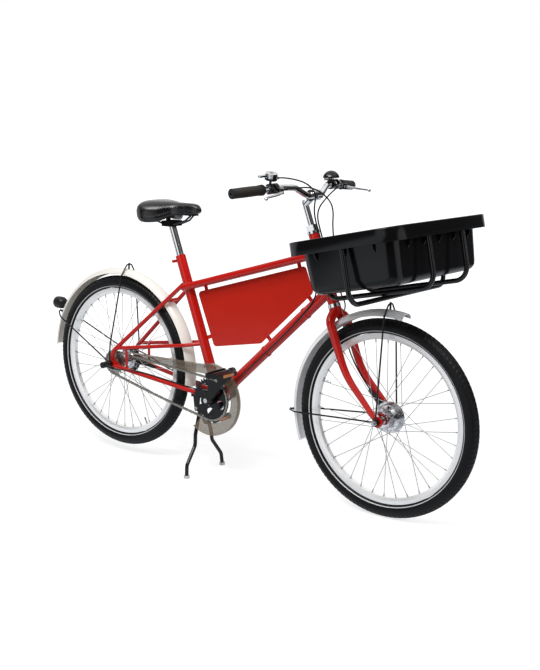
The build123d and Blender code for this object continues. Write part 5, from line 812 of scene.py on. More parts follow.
@dataclass
class Wheel:
    """A wheel's tyre, valve and spoke seats.

    Attributes:
        name: front or rear.
        flanges: Place across and radius of each hub flange.
        valve_angle: Degrees ahead of straight up where the valve stands.
        stripe: Degrees round the tyre's section, from its widest place outwards, of its pale stripe.
        ridges: The same for the ridges on its side walls.
        tread: Inner and outer place across, slant and length of each row of blocks.
        stagger: Share of a block's length by which one half of the tread is shifted.
        head: Size of a spoke's head, which is also how far it stands off its flange.
    """

    name: str
    axle: Vector
    flanges: tuple[Pair, ...]
    valve_angle: float
    radius: float = 0.330
    width: float = 0.050
    rim_radius: float = 0.2828
    rim_depth: float = 0.0208
    wall: float = 0.0032
    bead_gap: float = 0.0004
    stripe: Pair = (-41.0, -33.5)
    stripe_lift: float = 0.0005
    ridges: tuple[int, ...] = (-54, -20)
    ridge_lift: float = 0.0006
    tread_depth: float = 0.0014
    tread: tuple[tuple[float, float, float, float], ...] = (
        (0.0010, 0.0068, 0.0050, 0.0125), (0.0084, 0.0136, 0.0042, 0.0105),
        (0.0150, 0.0212, 0.0050, 0.0100))
    blocks: int = 116
    stagger: float = 0.55
    spokes: int = 36
    head: float = 0.0021
    head_inset: float = 0.004
    first_head: float = 10.0
    eyelet: float = 0.0038

    def half(self) -> float:
        """Return the half width of the tyre under its tread."""
        return self.width / 2 - self.tread_depth

    def skin_radius(self, across: float) -> float:
        """Return the tyre's outer radius under the tread at a place across it."""
        half = self.half()
        return self.radius - self.width / 2 + math.sqrt(max(half * half - across * across, 0.0))

    def casing(self) -> Mesh:
        """Build the tyre's casing: a rounded tread, ribbed side walls with a stripe, and an open inside.

        Returns:
            The mesh; its second material is the stripe.
        """
        middle = self.radius - self.width / 2
        half = self.half()
        low, high = (math.radians(degree) for degree in self.stripe)
        side: list[Pair] = []
        for degree in (-62, -58, -54, -50, -46, -41, -33.5, -28, *range(-20, 91, 10)):
            turn = math.radians(degree)
            lift = self.stripe_lift if low <= turn <= high else 0.0
            lift += self.ridge_lift if degree in self.ridges else 0.0
            side.append(((half + lift) * math.cos(turn), middle + (half + lift) * math.sin(turn)))
        side[0] = (side[0][0], max(side[0][1], self.rim_radius + self.bead_gap))
        inner = half - self.wall
        under = [(inner * math.cos(math.radians(degree)), middle + inner * math.sin(math.radians(degree)))
                 for degree in range(90, -61, -15)]
        outside = side + [(-across, radius) for across, radius in reversed(side[:-1])]
        inside = [(-across, radius) for across, radius in reversed(under)] + under[1:]
        rings = turned_rings(outside + inside, self.axle, ACROSS, 144)
        mesh = skinned(f"{self.name}_casing", [rings], 50.0, loop=True)
        for face in mesh.polygons:
            reach = face.center - self.axle
            across, up = abs(reach.y), math.hypot(reach.x, reach.z)
            turn = math.atan2(up - middle, across)
            outer = math.hypot(across, up - middle) > half - 0.001
            face.material_index = 1 if outer and low < turn < high else 0
        return mesh

    def block(self) -> Object:
        """Build one step of the tread at the top of the wheel, about the origin.

        Returns:
            An object that the tree repeats.
        """
        skins = []
        levels = ((-0.0010, 1.0), (self.tread_depth * 0.8, 1.0), (self.tread_depth, 0.82))
        for inner, outer, slant, length in self.tread:
            middle = (inner + outer) / 2
            for hand in (-1, 1):
                shift = 0.0 if hand < 0 else length * self.stagger
                rings = []
                for lift, shrink in levels:
                    half = (outer - inner) / 2 * shrink
                    ring = []
                    for away, along in ((-half, -1), (half, -1), (half, 1), (-half, 1)):
                        across = middle + away
                        lean = slant * (across - inner) / (outer - inner)
                        angle = (along * length * 0.5 * shrink + lean + shift) / self.radius
                        reach = self.skin_radius(across) + lift
                        place = (math.sin(angle) * reach, hand * across, math.cos(angle) * reach)
                        ring.append(Vector(place))
                    rings.append(ring)
                skins.append(rings)
        return add_object("tread_step", skinned("tread_step", skins, 30.0))

    def valve(self) -> Mesh:
        """Build the valve with its ring nut and cap, pointing at the axle.

        Returns:
            The mesh.
        """
        turn = math.radians(self.valve_angle)
        reach = self.rim_radius - self.rim_depth + 0.002
        foot = self.axle + Vector((math.sin(turn) * reach, 0.0, math.cos(turn) * reach))
        profile = ((0.0, 0.0025), (0.0022, 0.0025), (0.0022, 0.0045), (0.0046, 0.0045), (0.0046, 0.0025),
                   (0.0190, 0.0025), (0.0190, 0.0031), (0.0285, 0.0031), (0.0297, 0.0020))
        return skinned("valve", [turned_rings(profile, foot, (self.axle - foot).normalized(), 16)])

    @staticmethod
    def dome(radius: float, across: float, size: float) -> Object:
        """Build one small dome at the top of the wheel, about the origin, for spoke heads and eyelets.

        Args:
            radius: Its distance from the axle.
            across: Its place across; in the middle it points at the axle, elsewhere outwards.
            size: Its radius.

        Returns:
            An object that the tree repeats.
        """
        outward = ACROSS * math.copysign(1.0, across) if across else -UPWARD
        profile = ((-0.0006, size), (0.0006, size), (0.0013, size * 0.62), (0.0016, size * 0.2))
        rings = turned_rings(profile, Vector((0, across, radius)), outward, 8)
        return add_object("spoke_seat", skinned("spoke_seat", [rings]))

    def build(self, trees: RepeatTrees) -> None:
        """Build and dress the wheel's pieces.

        Args:
            trees: The repeating trees.
        """
        body = f"{self.name}_wheel"

        def repeat(title: str, finish: Finishes, copy: Object, count: int, first: float = 0.0) -> None:
            """Set copies of a small piece round the axle, from a first angle in degrees."""
            values = {"Copy": copy, "Count": count, "Centre": self.axle, "First": math.radians(first)}
            trees.run(trees.round_axle, f"{self.name}_{title}", values, finish, body)

        casing = self.casing()
        for finish in (Finishes.TYRE, Finishes.STRIPE):
            casing.materials.append(trees.paint.materials[finish])
        trees.paint.show(f"{self.name}_tyre_casing", casing, Finishes.TYRE, body, f"{self.name}_tyre")
        repeat("tyre_tread", Finishes.TYRE, self.block(), self.blocks)
        trees.paint.show(f"{self.name}_valve", self.valve(), Finishes.STEEL, body)
        for number, (across, radius) in enumerate(self.flanges, 1):
            head = self.dome(radius - self.head_inset, across + math.copysign(self.head, across), self.head)
            repeat(f"spoke_heads_{number}", Finishes.SPOKE, head, self.spokes // 2, self.first_head)
        eyelet = self.dome(self.rim_radius - self.rim_depth, 0.0, self.eyelet)
        repeat("rim_eyelets", Finishes.STEEL, eyelet, self.spokes)


# Chain


@dataclass
class Chain:
    """The chain's links on the loop round the sprocket and the chainring.

    Attributes:
        line: Place across of the chain.
        gap: Half the space between the inner plates.
        steps: Points on each arc and run of the loop.
    """

    pitch: float = 0.0127
    rear_radius: float = 0.04462
    front_radius: float = 0.07690
    line: float = -0.0475
    plate_half: float = 0.0041
    plate_thick: float = 0.0011
    waist: float = 0.66
    gap: float = 0.0020
    sag: float = 0.004
    pin: float = 0.0018
    pin_end: float = 0.0006
    roller: float = 0.0037
    steps: int = 32

    def arc(self, centre: Vector, radius: float, start: float, sweep: float) -> list[Vector]:
        """Return points on a toothed wheel's pitch circle, from an angle through a sweep."""
        turns = [start + sweep * step / self.steps for step in range(self.steps + 1)]
        return [Vector((centre.x + radius * math.cos(turn), self.line, centre.z + radius * math.sin(turn)))
                for turn in turns]

    def loop(self) -> list[Vector]:
        """Work out the loop: two arcs and two runs, the lower run with a little sag.

        Returns:
            Points round the loop.
        """
        span = BRACKET - REAR_AXLE
        slope = math.atan2(span.z, span.x)
        lean = math.asin((self.front_radius - self.rear_radius) / span.length)
        upper, lower = slope + math.pi / 2 + lean, slope - math.pi / 2 - lean
        front = self.arc(BRACKET, self.front_radius, upper, lower - upper)
        rear = self.arc(REAR_AXLE, self.rear_radius, lower, upper - lower - math.tau)
        run = []
        for step in range(1, self.steps):
            drop = self.sag * math.sin(math.pi * step / self.steps)
            run.append(front[-1].lerp(rear[0], step / self.steps) - UPWARD * drop)
        return front + run + rear

    def link(self, outer: bool) -> Object:
        """Build one link about the origin, along X: two waisted plates with rollers or pin ends.

        Args:
            outer: Whether it is an outer link.

        Returns:
            An object that the tree repeats.
        """
        outline = []
        for end in (1, -1):
            for degree in range(-90, 91, 36):
                turn = math.radians(degree)
                outline.append((end * (self.pitch / 2 + self.plate_half * math.cos(turn)),
                                end * self.plate_half * math.sin(turn)))
            outline.append((0.0, end * self.plate_half * self.waist))
        near = self.gap + (self.plate_thick if outer else 0.0)
        far = near + self.plate_thick
        skins = [[[Vector((x, hand * y, z)) for x, z in outline] for y in (near, far)] for hand in (-1, 1)]
        reach, size = (far + self.pin_end, self.pin) if outer else (near, self.roller)
        for end in (-1, 1):
            spot = AHEAD * end * self.pitch / 2
            skins.append(turned_rings([(-reach, size), (reach, size)], spot, ACROSS, 8))
        name = "outer_link" if outer else "inner_link"
        return add_object(name, skinned(name, skins))

    def build(self, trees: RepeatTrees) -> None:
        """Build and dress the chain.

        Args:
            trees: The repeating trees.
        """
        points = self.loop()
        loop = add_line("chain_loop", "POLY", points)
        loop.data.splines[0].use_cyclic_u = True
        length = sum((b - a).length for a, b in zip(points, points[1:] + points[:1]))
        trees.run(trees.on_path, "chain_links", {
            "Path": loop, "Even": self.link(True), "Odd": self.link(False),
            "Count": 2 * round(length / self.pitch / 2)}, Finishes.CHAIN, "frame", "chain")


# Saddle


@dataclass
class Saddle:
    """The padded saddle: a cover that swells over its base, with piping and stitches.

    Attributes:
        slack: How far inside its full shape the cover starts.
        swell: The most that a point of the cover moves when it swells.
        grain: Size of the cover's faces.
        hold: Height above the base below which the cover is held.
        seam_share: Height of the seam as a share of the cushion's.
        rounding: How much of the size is lost at both ends, over the shares round_tail and round_nose.
        waist_share: Height of the widest level as a share of the cushion's.
        foot_share: Width at the skirts' edge as a share of the widest.
        crown_shape: Powers that square the crown's ellipse, across and upward.
        pocket_share: Least width of the pocket as a share of the widest.
        seam_from: Share of the length where the seam starts at the nose.
        tail_spots: Places across the tail that the seam runs through.
        stations: Share of the length, half width and the shares of height, lift and skirt there.
    """

    tail: float = -0.2651
    length: float = 0.253
    base: float = 0.94846
    height: float = 0.048
    skirt: float = 0.034
    wall: float = 0.0085
    slack: float = 0.003
    swell: float = 0.006
    grain: float = 0.0045
    pressure: float = 4.0
    frames: int = 20
    hold: float = 0.014
    seam_share: float = 0.30
    seam_depth: float = 0.0014
    seam_width: float = 0.004
    piping: float = 0.0012
    stitches: int = 120
    stitch_lift: float = 0.005
    rounding: float = 0.34
    round_tail: float = 0.06
    round_nose: float = 0.05
    waist_share: float = 0.36
    foot_share: float = 0.90
    crown_shape: Pair = (0.62, 0.80)
    crown_steps: int = 28
    drop_steps: int = 4
    pocket_share: float = 0.3
    seam_from: float = 0.94
    seam_step: float = 0.055
    seam_steps: int = 17
    tail_spots: tuple[float, ...] = (0.038, 0.013, -0.013, -0.038)
    tail_share: float = 0.02
    stations: tuple[tuple[float, float, float, float, float], ...] = (
        (0.0, 0.064, 0.66, 0.10, 0.30), (0.10, 0.093, 0.92, 0.03, 0.80), (0.24, 0.100, 1.0, 0.0, 1.0),
        (0.42, 0.076, 0.94, 0.0, 0.86), (0.58, 0.0378, 0.86, 0.0, 0.20), (0.76, 0.02625, 0.85, 0.0, 0.0),
        (0.92, 0.021, 0.80, 0.0, 0.0), (1.0, 0.013, 0.42, 0.12, 0.0))

    def at(self, share: float) -> list[float]:
        """Read the stations at any place, along a smooth line.

        Args:
            share: Share of the length.

        Returns:
            Half width and the shares of height, lift and skirt.
        """
        rows = self.stations
        index = max(i for i in range(len(rows) - 1) if rows[i][0] <= share)
        one, two = rows[index], rows[index + 1]
        before, after = rows[max(index - 1, 0)], rows[min(index + 2, len(rows) - 1)]
        step = two[0] - one[0]
        t = (share - one[0]) / step
        found = []
        for column in (1, 2, 3, 4):
            rise_one = (two[column] - before[column]) / (two[0] - before[0]) * step
            rise_two = (after[column] - one[column]) / (after[0] - one[0]) * step
            found.append((2 * t ** 3 - 3 * t ** 2 + 1) * one[column] + (t ** 3 - 2 * t ** 2 + t) * rise_one
                         + (3 * t ** 2 - 2 * t ** 3) * two[column] + (t ** 3 - t ** 2) * rise_two)
        return found

    def levels(self, share: float) -> Point:
        """Work out the cover's size at any place, rounded off at both ends.

        Args:
            share: Share of the length.

        Returns:
            Half width, lowest and highest level.
        """
        half, tall, lift, skirt = self.at(share)
        floor = self.base + self.height * lift - self.skirt * max(skirt, 0.0)
        top = self.base + self.height * (lift + tall) - self.slack
        at_tail = max(1.0 - share / self.round_tail, 0.0)
        at_nose = max((share - (1.0 - self.round_nose)) / self.round_nose, 0.0)
        middle = (floor + top) / 2
        keep = 1.0 - (self.rounding * at_tail ** 2 + self.rounding * at_nose ** 2)
        return (half - self.slack) * keep, middle + (floor - middle) * keep, middle + (top - middle) * keep

    def section(self, share: float) -> list[Vector]:
        """Work out a closed cross section: a crowned outside, skirts and the pocket for the base.

        Args:
            share: Share of the length.

        Returns:
            Points round the section.
        """
        half, floor, top = self.levels(share)
        waist = floor + (top - floor) * self.waist_share
        foot = half * self.foot_share
        across_power, upward_power = self.crown_shape
        turns = [math.pi * step / self.crown_steps for step in range(self.crown_steps, -1, -1)]
        crown = [(half * math.copysign(abs(math.cos(turn)) ** across_power, math.cos(turn)),
                  waist + (top - waist) * math.sin(turn) ** upward_power) for turn in turns]
        steps = self.drop_steps
        drop = [(half - (half - foot) * step * step / steps ** 2, waist + (floor - waist) * step / steps)
                for step in range(1, steps + 1)]
        inside = max(foot - self.wall, half * self.pocket_share)
        roof = max(self.base, floor)
        pocket = [(inside, floor), (inside, (floor + roof) / 2), (inside, roof), (inside / 2, roof),
                  (0.0, roof)]
        right = drop + pocket
        left = [(-across, level) for across, level in reversed(right[:-1])]
        along = self.tail + share * self.length
        return [Vector((along, across, level)) for across, level in crown + right + left]

    def padding(self) -> Mesh:
        """Build the slack cover on an even grain of small faces.

        Returns:
            The mesh.
        """
        shares = [0.0, 0.015, 0.03, 0.05] + [0.08 + 0.03 * step for step in range(29)]
        shares += [0.94, 0.96, 0.98, 0.99, 1.0]
        rough = add_object("padding", skinned("padding", [[self.section(share) for share in shares]]))
        even = rough.modifiers.new("even", "REMESH")
        even.mode = "VOXEL"
        even.voxel_size = self.grain
        mesh = evaluated_mesh(rough)
        bpy.data.objects.remove(rough)
        return mesh

    def swollen(self, mesh: Mesh) -> Mesh:
        """Let pressure swell the cover like a filled pad, held at its skirts, and cap how far it moves.

        Args:
            mesh: The slack cover.

        Returns:
            The swollen cover.
        """
        cover = add_object("cover", mesh)
        held = cover.vertex_groups.new(name="held")
        for vertex in mesh.vertices:
            share = (self.base + self.hold - vertex.co.z) / self.hold
            held.add([vertex.index], min(max(share, 0.0), 1.0), "REPLACE")
        cloth = cover.modifiers.new("cloth", "CLOTH")
        cloth.settings.vertex_group_mass = "held"
        cloth.settings.use_pressure = True
        cloth.settings.uniform_pressure_force = self.pressure
        cloth.settings.effector_weights.gravity = 0.0
        cloth.settings.quality = 6
        scene = bpy.context.scene
        for number in range(1, self.frames + 1):
            scene.frame_set(number)
        full = evaluated_mesh(cover)
        for vertex, start in zip(full.vertices, mesh.vertices):
            move = vertex.co - start.co
            if move.length > self.swell:
                vertex.co = start.co + move.normalized() * self.swell
        scene.frame_set(1)
        bpy.data.objects.remove(cover)
        return full

    def seam_level(self, share: float, lift: float) -> float:
        """Return the height of the seam at a share of the length, with a lift above it."""
        _, floor, top = self.levels(share)
        return floor + (top - floor) * self.seam_share + lift

    def seam(self, skin: BVHTree, lift: float) -> list[Vector]:
        """Find the seam's line on the cover: from the nose along the left side, round the tail and back.

        Args:
            skin: The finished cover.
            lift: Height above the seam.

        Returns:
            Points of a smooth line on the cover.
        """
        shares = [self.seam_from - self.seam_step * step for step in range(self.seam_steps)]
        points = []
        for side, order in ((1, shares), (-1, list(reversed(shares)))):
            for share in order:
                start = Vector((self.tail + share * self.length, side * 0.3, self.seam_level(share, lift)))
                points.append(skin.ray_cast(start, ACROSS * -side)[0])
            if side > 0:
                for across in self.tail_spots:
                    start = Vector((self.tail - 0.2, across, self.seam_level(self.tail_share, lift)))
                    points.append(skin.ray_cast(start, AHEAD)[0])
        return line_of_route([point for point in points if point is not None], 6)

    def groove(self, mesh: Mesh) -> None:
        """Press a groove into both sides of the cover along the seam.

        Args:
            mesh: The cover, which is changed.
        """
        for vertex in mesh.vertices:
            share = (vertex.co.x - self.tail) / self.length
            if 0.02 < share < 0.98 and abs(vertex.co.y) > self.levels(share)[0] * 0.8:
                away = vertex.co.z - self.seam_level(share, 0.0)
                depth = self.seam_depth * math.exp(-(away / self.seam_width) ** 2)
                vertex.co.y -= math.copysign(depth, vertex.co.y)

    def build(self, trees: RepeatTrees) -> None:
        """Build and dress the cushion, its piping and its stitches.

        Args:
            trees: The repeating trees.
        """
        mesh = self.padding()
        mesh = self.swollen(mesh)
        self.groove(mesh)
        mesh.shade_smooth()
        mesh.materials.clear()
        cushion = add_object("saddle_padding", mesh)
        smooth = cushion.modifiers.new("smooth", "SUBSURF")
        smooth.levels = smooth.render_levels = 1
        trees.paint.dress(cushion, Finishes.LEATHER, "seat", "saddle_cushion")
        skin = BVHTree.FromObject(cushion, bpy.context.evaluated_depsgraph_get())
        line = self.seam(skin, 0.0)
        rings = swept_rings(line, [(self.piping, self.piping)] * len(line), UPWARD, 8)
        trees.paint.show("saddle_piping", skinned("saddle_piping", [rings], 60.0), Finishes.LEATHER, "seat")
        row = add_line("stitch_line", "POLY", self.seam(skin, self.stitch_lift))
        trees.run(trees.on_path, "saddle_stitches", {
            "Path": row, "Even": self.stitch(), "Odd": self.stitch(), "Count": self.stitches},
            Finishes.THREAD, "seat")

    @staticmethod
    def stitch() -> Object:
        """Build one short stitch along X about the origin."""
        profile = ((-0.0017, 0.0002), (-0.0014, 0.0005), (0.0, 0.0006), (0.0014, 0.0005), (0.0017, 0.0002))
        return add_object("stitch", skinned("stitch", [turned_rings(profile, Vector(), AHEAD, 6)]))


# Handlebar pieces


@dataclass
class Grip:
    """A handlebar grip with a palm swell, an end cap, an inner collar and a ribbed sleeve between them."""

    name: str
    end: Vector
    inward: Vector
    sleeve: Pair = (0.006, 0.104)
    ribs: int = 31
    pitch: float = 0.0030
    rib_height: float = 0.00045

    def mesh(self, paint: Paintbox) -> Mesh:
        """Build the grip with a black cap and collar.

        Args:
            paint: The finishes.

        Returns:
            The mesh; its second material is the cap's.
        """
        profile = [(-0.0030, 0.0040), (-0.0029, 0.0100), (-0.0022, 0.0138), (-0.0008, 0.0158),
                   (0.0014, 0.0166), (0.0046, 0.0166), (0.0056, 0.0156), (0.0068, 0.0156), (0.0078, 0.0160)]
        for rib in range(self.ribs):
            along = 0.0100 + rib * self.pitch
            low = 0.0154 + 0.0008 * math.sin(math.pi * (0.15 + 0.7 * rib / self.ribs))
            high = low + self.rib_height
            profile += [(along, low), (along + 0.0006, high), (along + 0.0016, high), (along + 0.0022, low)]
        profile += [(0.1046, 0.0152), (0.1056, 0.0166), (0.1090, 0.0172), (0.1215, 0.0178),
                    (0.1236, 0.0168), (0.1240, 0.0118), (0.1100, 0.0114), (0.0, 0.0114), (-0.001, 0.0040)]
        mesh = skinned(self.name, [turned_rings(profile, self.end, self.inward, 36)], 32.0, loop=True)
        for finish in (Finishes.GRIP, Finishes.RUBBER):
            mesh.materials.append(paint.materials[finish])
        for face in mesh.polygons:
            along = (face.center - self.end).dot(self.inward)
            face.material_index = 0 if self.sleeve[0] < along < self.sleeve[1] else 1
        return mesh


@dataclass
class BrakeLever:
    """A brake lever blade: a flat root on the pivot, a curved blade and a round end.

    Attributes:
        root: Half thickness and half height of the blade at its pivot.
        taper: How much of both is gone at its end.
        curve: Shares of length and reach along the blade.
    """

    name: str
    pivot: Vector
    inward: Vector
    forward: Vector
    length: float = 0.105
    reach: float = 0.055
    root: Pair = (0.0044, 0.0066)
    taper: Pair = (0.0012, 0.0020)
    ball: float = 0.0062
    curve: tuple[Pair, ...] = (
        (0.0, 0.0), (0.16, 0.34), (0.40, 0.60), (0.72, 0.74), (0.90, 0.84), (1.0, 1.0))

    def build(self, paint: Paintbox) -> None:
        """Build and dress the blade.

        Args:
            paint: The finishes.
        """
        normal = self.inward.cross(self.forward).normalized()
        route = [self.pivot - self.inward * self.length * along + self.forward * self.reach * out
                 for along, out in self.curve]
        line = line_of_route(route, 6)
        shares = [index / (len(line) - 1) for index in range(len(line))]
        sizes = [tuple(full - gone * share for full, gone in zip(self.root, self.taper))
                 for share in shares]
        bm = bmesh.new()
        add_rings(bm, swept_rings(line, sizes, normal, 12))
        ball = bmesh.ops.create_uvsphere(bm, u_segments=16, v_segments=10, radius=self.ball)
        bmesh.ops.translate(bm, verts=ball["verts"], vec=line[-1])
        hub = ((-0.0044, 0.0062), (-0.0038, 0.0078), (0.0038, 0.0078), (0.0044, 0.0062))
        add_rings(bm, turned_rings(hub, self.pivot, normal, 20))
        mesh = close_mesh(bm, self.name, 45.0)
        paint.show(f"{self.name}_blade", mesh, Finishes.BRIGHT, self.name, self.name)


@dataclass
class Handlebar:
    """The pieces that the rider's hands touch; places and directions are those of the left hand."""

    grip_end: Point = (0.4004, 0.341, 1.0541)
    inward: Point = (0.255056, -0.964573, 0.067425)
    forward: Point = (0.951799, 0.238168, -0.193272)
    pivot: Point = (0.4766, 0.1832, 1.0591)
    bell_clamp: Point = (0.4544, 0.130, 1.0669)
    bell_up: Point = (0.004597, -0.026202, 0.999646)
    bell_cup: tuple[Pair, ...] = (
        (0.0128, 0.0080), (0.0130, 0.0128), (0.0150, 0.0192), (0.0172, 0.0228), (0.0184, 0.0236),
        (0.0189, 0.0232))

    def build(self, paint: Paintbox) -> None:
        """Build and dress both grips, both lever blades and the bell's cup.

        Args:
            paint: The finishes.
        """
        for side, hand in ((1, "left"), (-1, "right")):
            flip = Vector((1, side, 1))
            inward = Vector(self.inward) * flip
            grip = Grip(f"{hand}_grip_sleeve", Vector(self.grip_end) * flip, inward)
            paint.show(grip.name, grip.mesh(paint), Finishes.GRIP, "steering", "grips")
            pivot, forward = Vector(self.pivot) * flip, Vector(self.forward) * flip
            BrakeLever(f"{hand}_brake_lever", pivot, inward, forward).build(paint)
        rings = turned_rings(self.bell_cup, Vector(self.bell_clamp), Vector(self.bell_up), 40)
        paint.show("bell_cup", skinned("bell_cup", [rings], 50.0), Finishes.BELL, "steering")


# Cables


@dataclass
class Cable:
    """A cable in its casing.

    Attributes:
        name: The piece's name.
        route: Control points from the bar to the hub.
        length: Its length in metres; not used.
        nodes: The solids that it stands for.
        crosses: Whether it runs from the steering to the frame.
    """

    name: str
    route: tuple[Point, ...]
    length: float
    nodes: tuple[str, ...]
    crosses: bool
    radius: float = 0.0025

    def build(self, paint: Paintbox) -> None:
        """Build and dress the cable.

        Args:
            paint: The finishes.
        """
        line = line_of_route(self.route)
        rings = swept_rings(line, [(self.radius, self.radius)] * len(line), ACROSS, 10)
        piece = add_object(self.name, skinned(self.name, [rings], 60.0))
        piece.data.materials.append(paint.materials[Finishes.CABLE])
        if self.crosses:
            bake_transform(piece)
        else:
            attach(piece, "steering")
        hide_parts(*self.nodes)
        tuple(self.route[0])
        [tuple(point) for point in line]
        LOG.info("made %s", self.name)


FRAME_RUN: tuple[Point, ...] = (
    (0.4776, 0.0077, 0.9835), (0.5005, 0.0055, 0.9131), (0.5325, 0.0060, 0.8268), (0.5354, 0.0180, 0.8087),
    (0.5213, 0.0250, 0.7821), (0.5038, 0.0244, 0.7544), (0.5015, 0.0220, 0.6794), (0.1224, 0.0220, 0.3319),
    (0.0810, 0.0260, 0.3200), (0.0145, 0.0339, 0.3135), (-0.2216, 0.0529, 0.3462))
CABLES: tuple[Cable, ...] = (
    Cable("gear_cable", (
        (0.4550, -0.1719, 1.0990), (0.4611, -0.1488, 1.1006), (0.5051, -0.0920, 1.0853),
        (0.5063, -0.0320, 1.0474), *((x, -y, z) for x, y, z in FRAME_RUN), (-0.2942, -0.0692, 0.3559),
        (-0.3357, -0.1051, 0.3560), (-0.3594, -0.1051, 0.3593)),
        1.55, ("bar_cables", "frame_cables"), True),
    Cable("rear_brake_cable", (
        (0.4720, 0.1470, 1.0641), (0.4781, 0.1239, 1.0657), (0.5150, 0.0960, 1.0698),
        (0.5067, 0.0300, 1.0348), *FRAME_RUN, (-0.3080, 0.0500, 0.3852), (-0.3649, 0.0428, 0.4014)),
        1.52, ("bar_cables", "frame_cables"), True),
    Cable("front_brake_line", (
        (0.4720, -0.1470, 1.0641), (0.4781, -0.1238, 1.0657), (0.5277, -0.0840, 1.0703),
        (0.5416, -0.0160, 1.0327), (0.5472, 0.0080, 0.9943), (0.5437, 0.0060, 0.9290),
        (0.5800, 0.0040, 0.7185), (0.5751, 0.0500, 0.6826), (0.5538, 0.0660, 0.6364),
        (0.5672, 0.0480, 0.5944), (0.6182, 0.0390, 0.4768), (0.6863, 0.0400, 0.4022)),
        0.85, ("front_brake_cable",), False))


@dataclass
class CableClips:
    """The bands round the down tube that hold both cables.

    Attributes:
        top: Upper end of the tube's middle line, whose lower end is the bracket.
        profile: A band's cross section as distance along and radius.
    """

    top: Point = (0.5429, 0.0, 0.72936)
    shares: tuple[float, ...] = (0.2, 0.55, 0.86)
    profile: tuple[Pair, ...] = ((-0.0050, 0.0191), (-0.0050, 0.0206), (-0.0042, 0.0211), (0.0042, 0.0211),
                                 (0.0050, 0.0206), (0.0050, 0.0191))

    def build(self, paint: Paintbox) -> None:
        """Build and dress the bands.

        Args:
            paint: The finishes.
        """
        top = Vector(self.top)
        run = BRACKET - top
        bands = [turned_rings(self.profile, top + run * share, run.normalized(), 32)
                 for share in self.shares]
        mesh = skinned("cable_bands", bands, loop=True)
        paint.show("cable_bands", mesh, Finishes.RED, "frame", "frame_cables")


# Tray


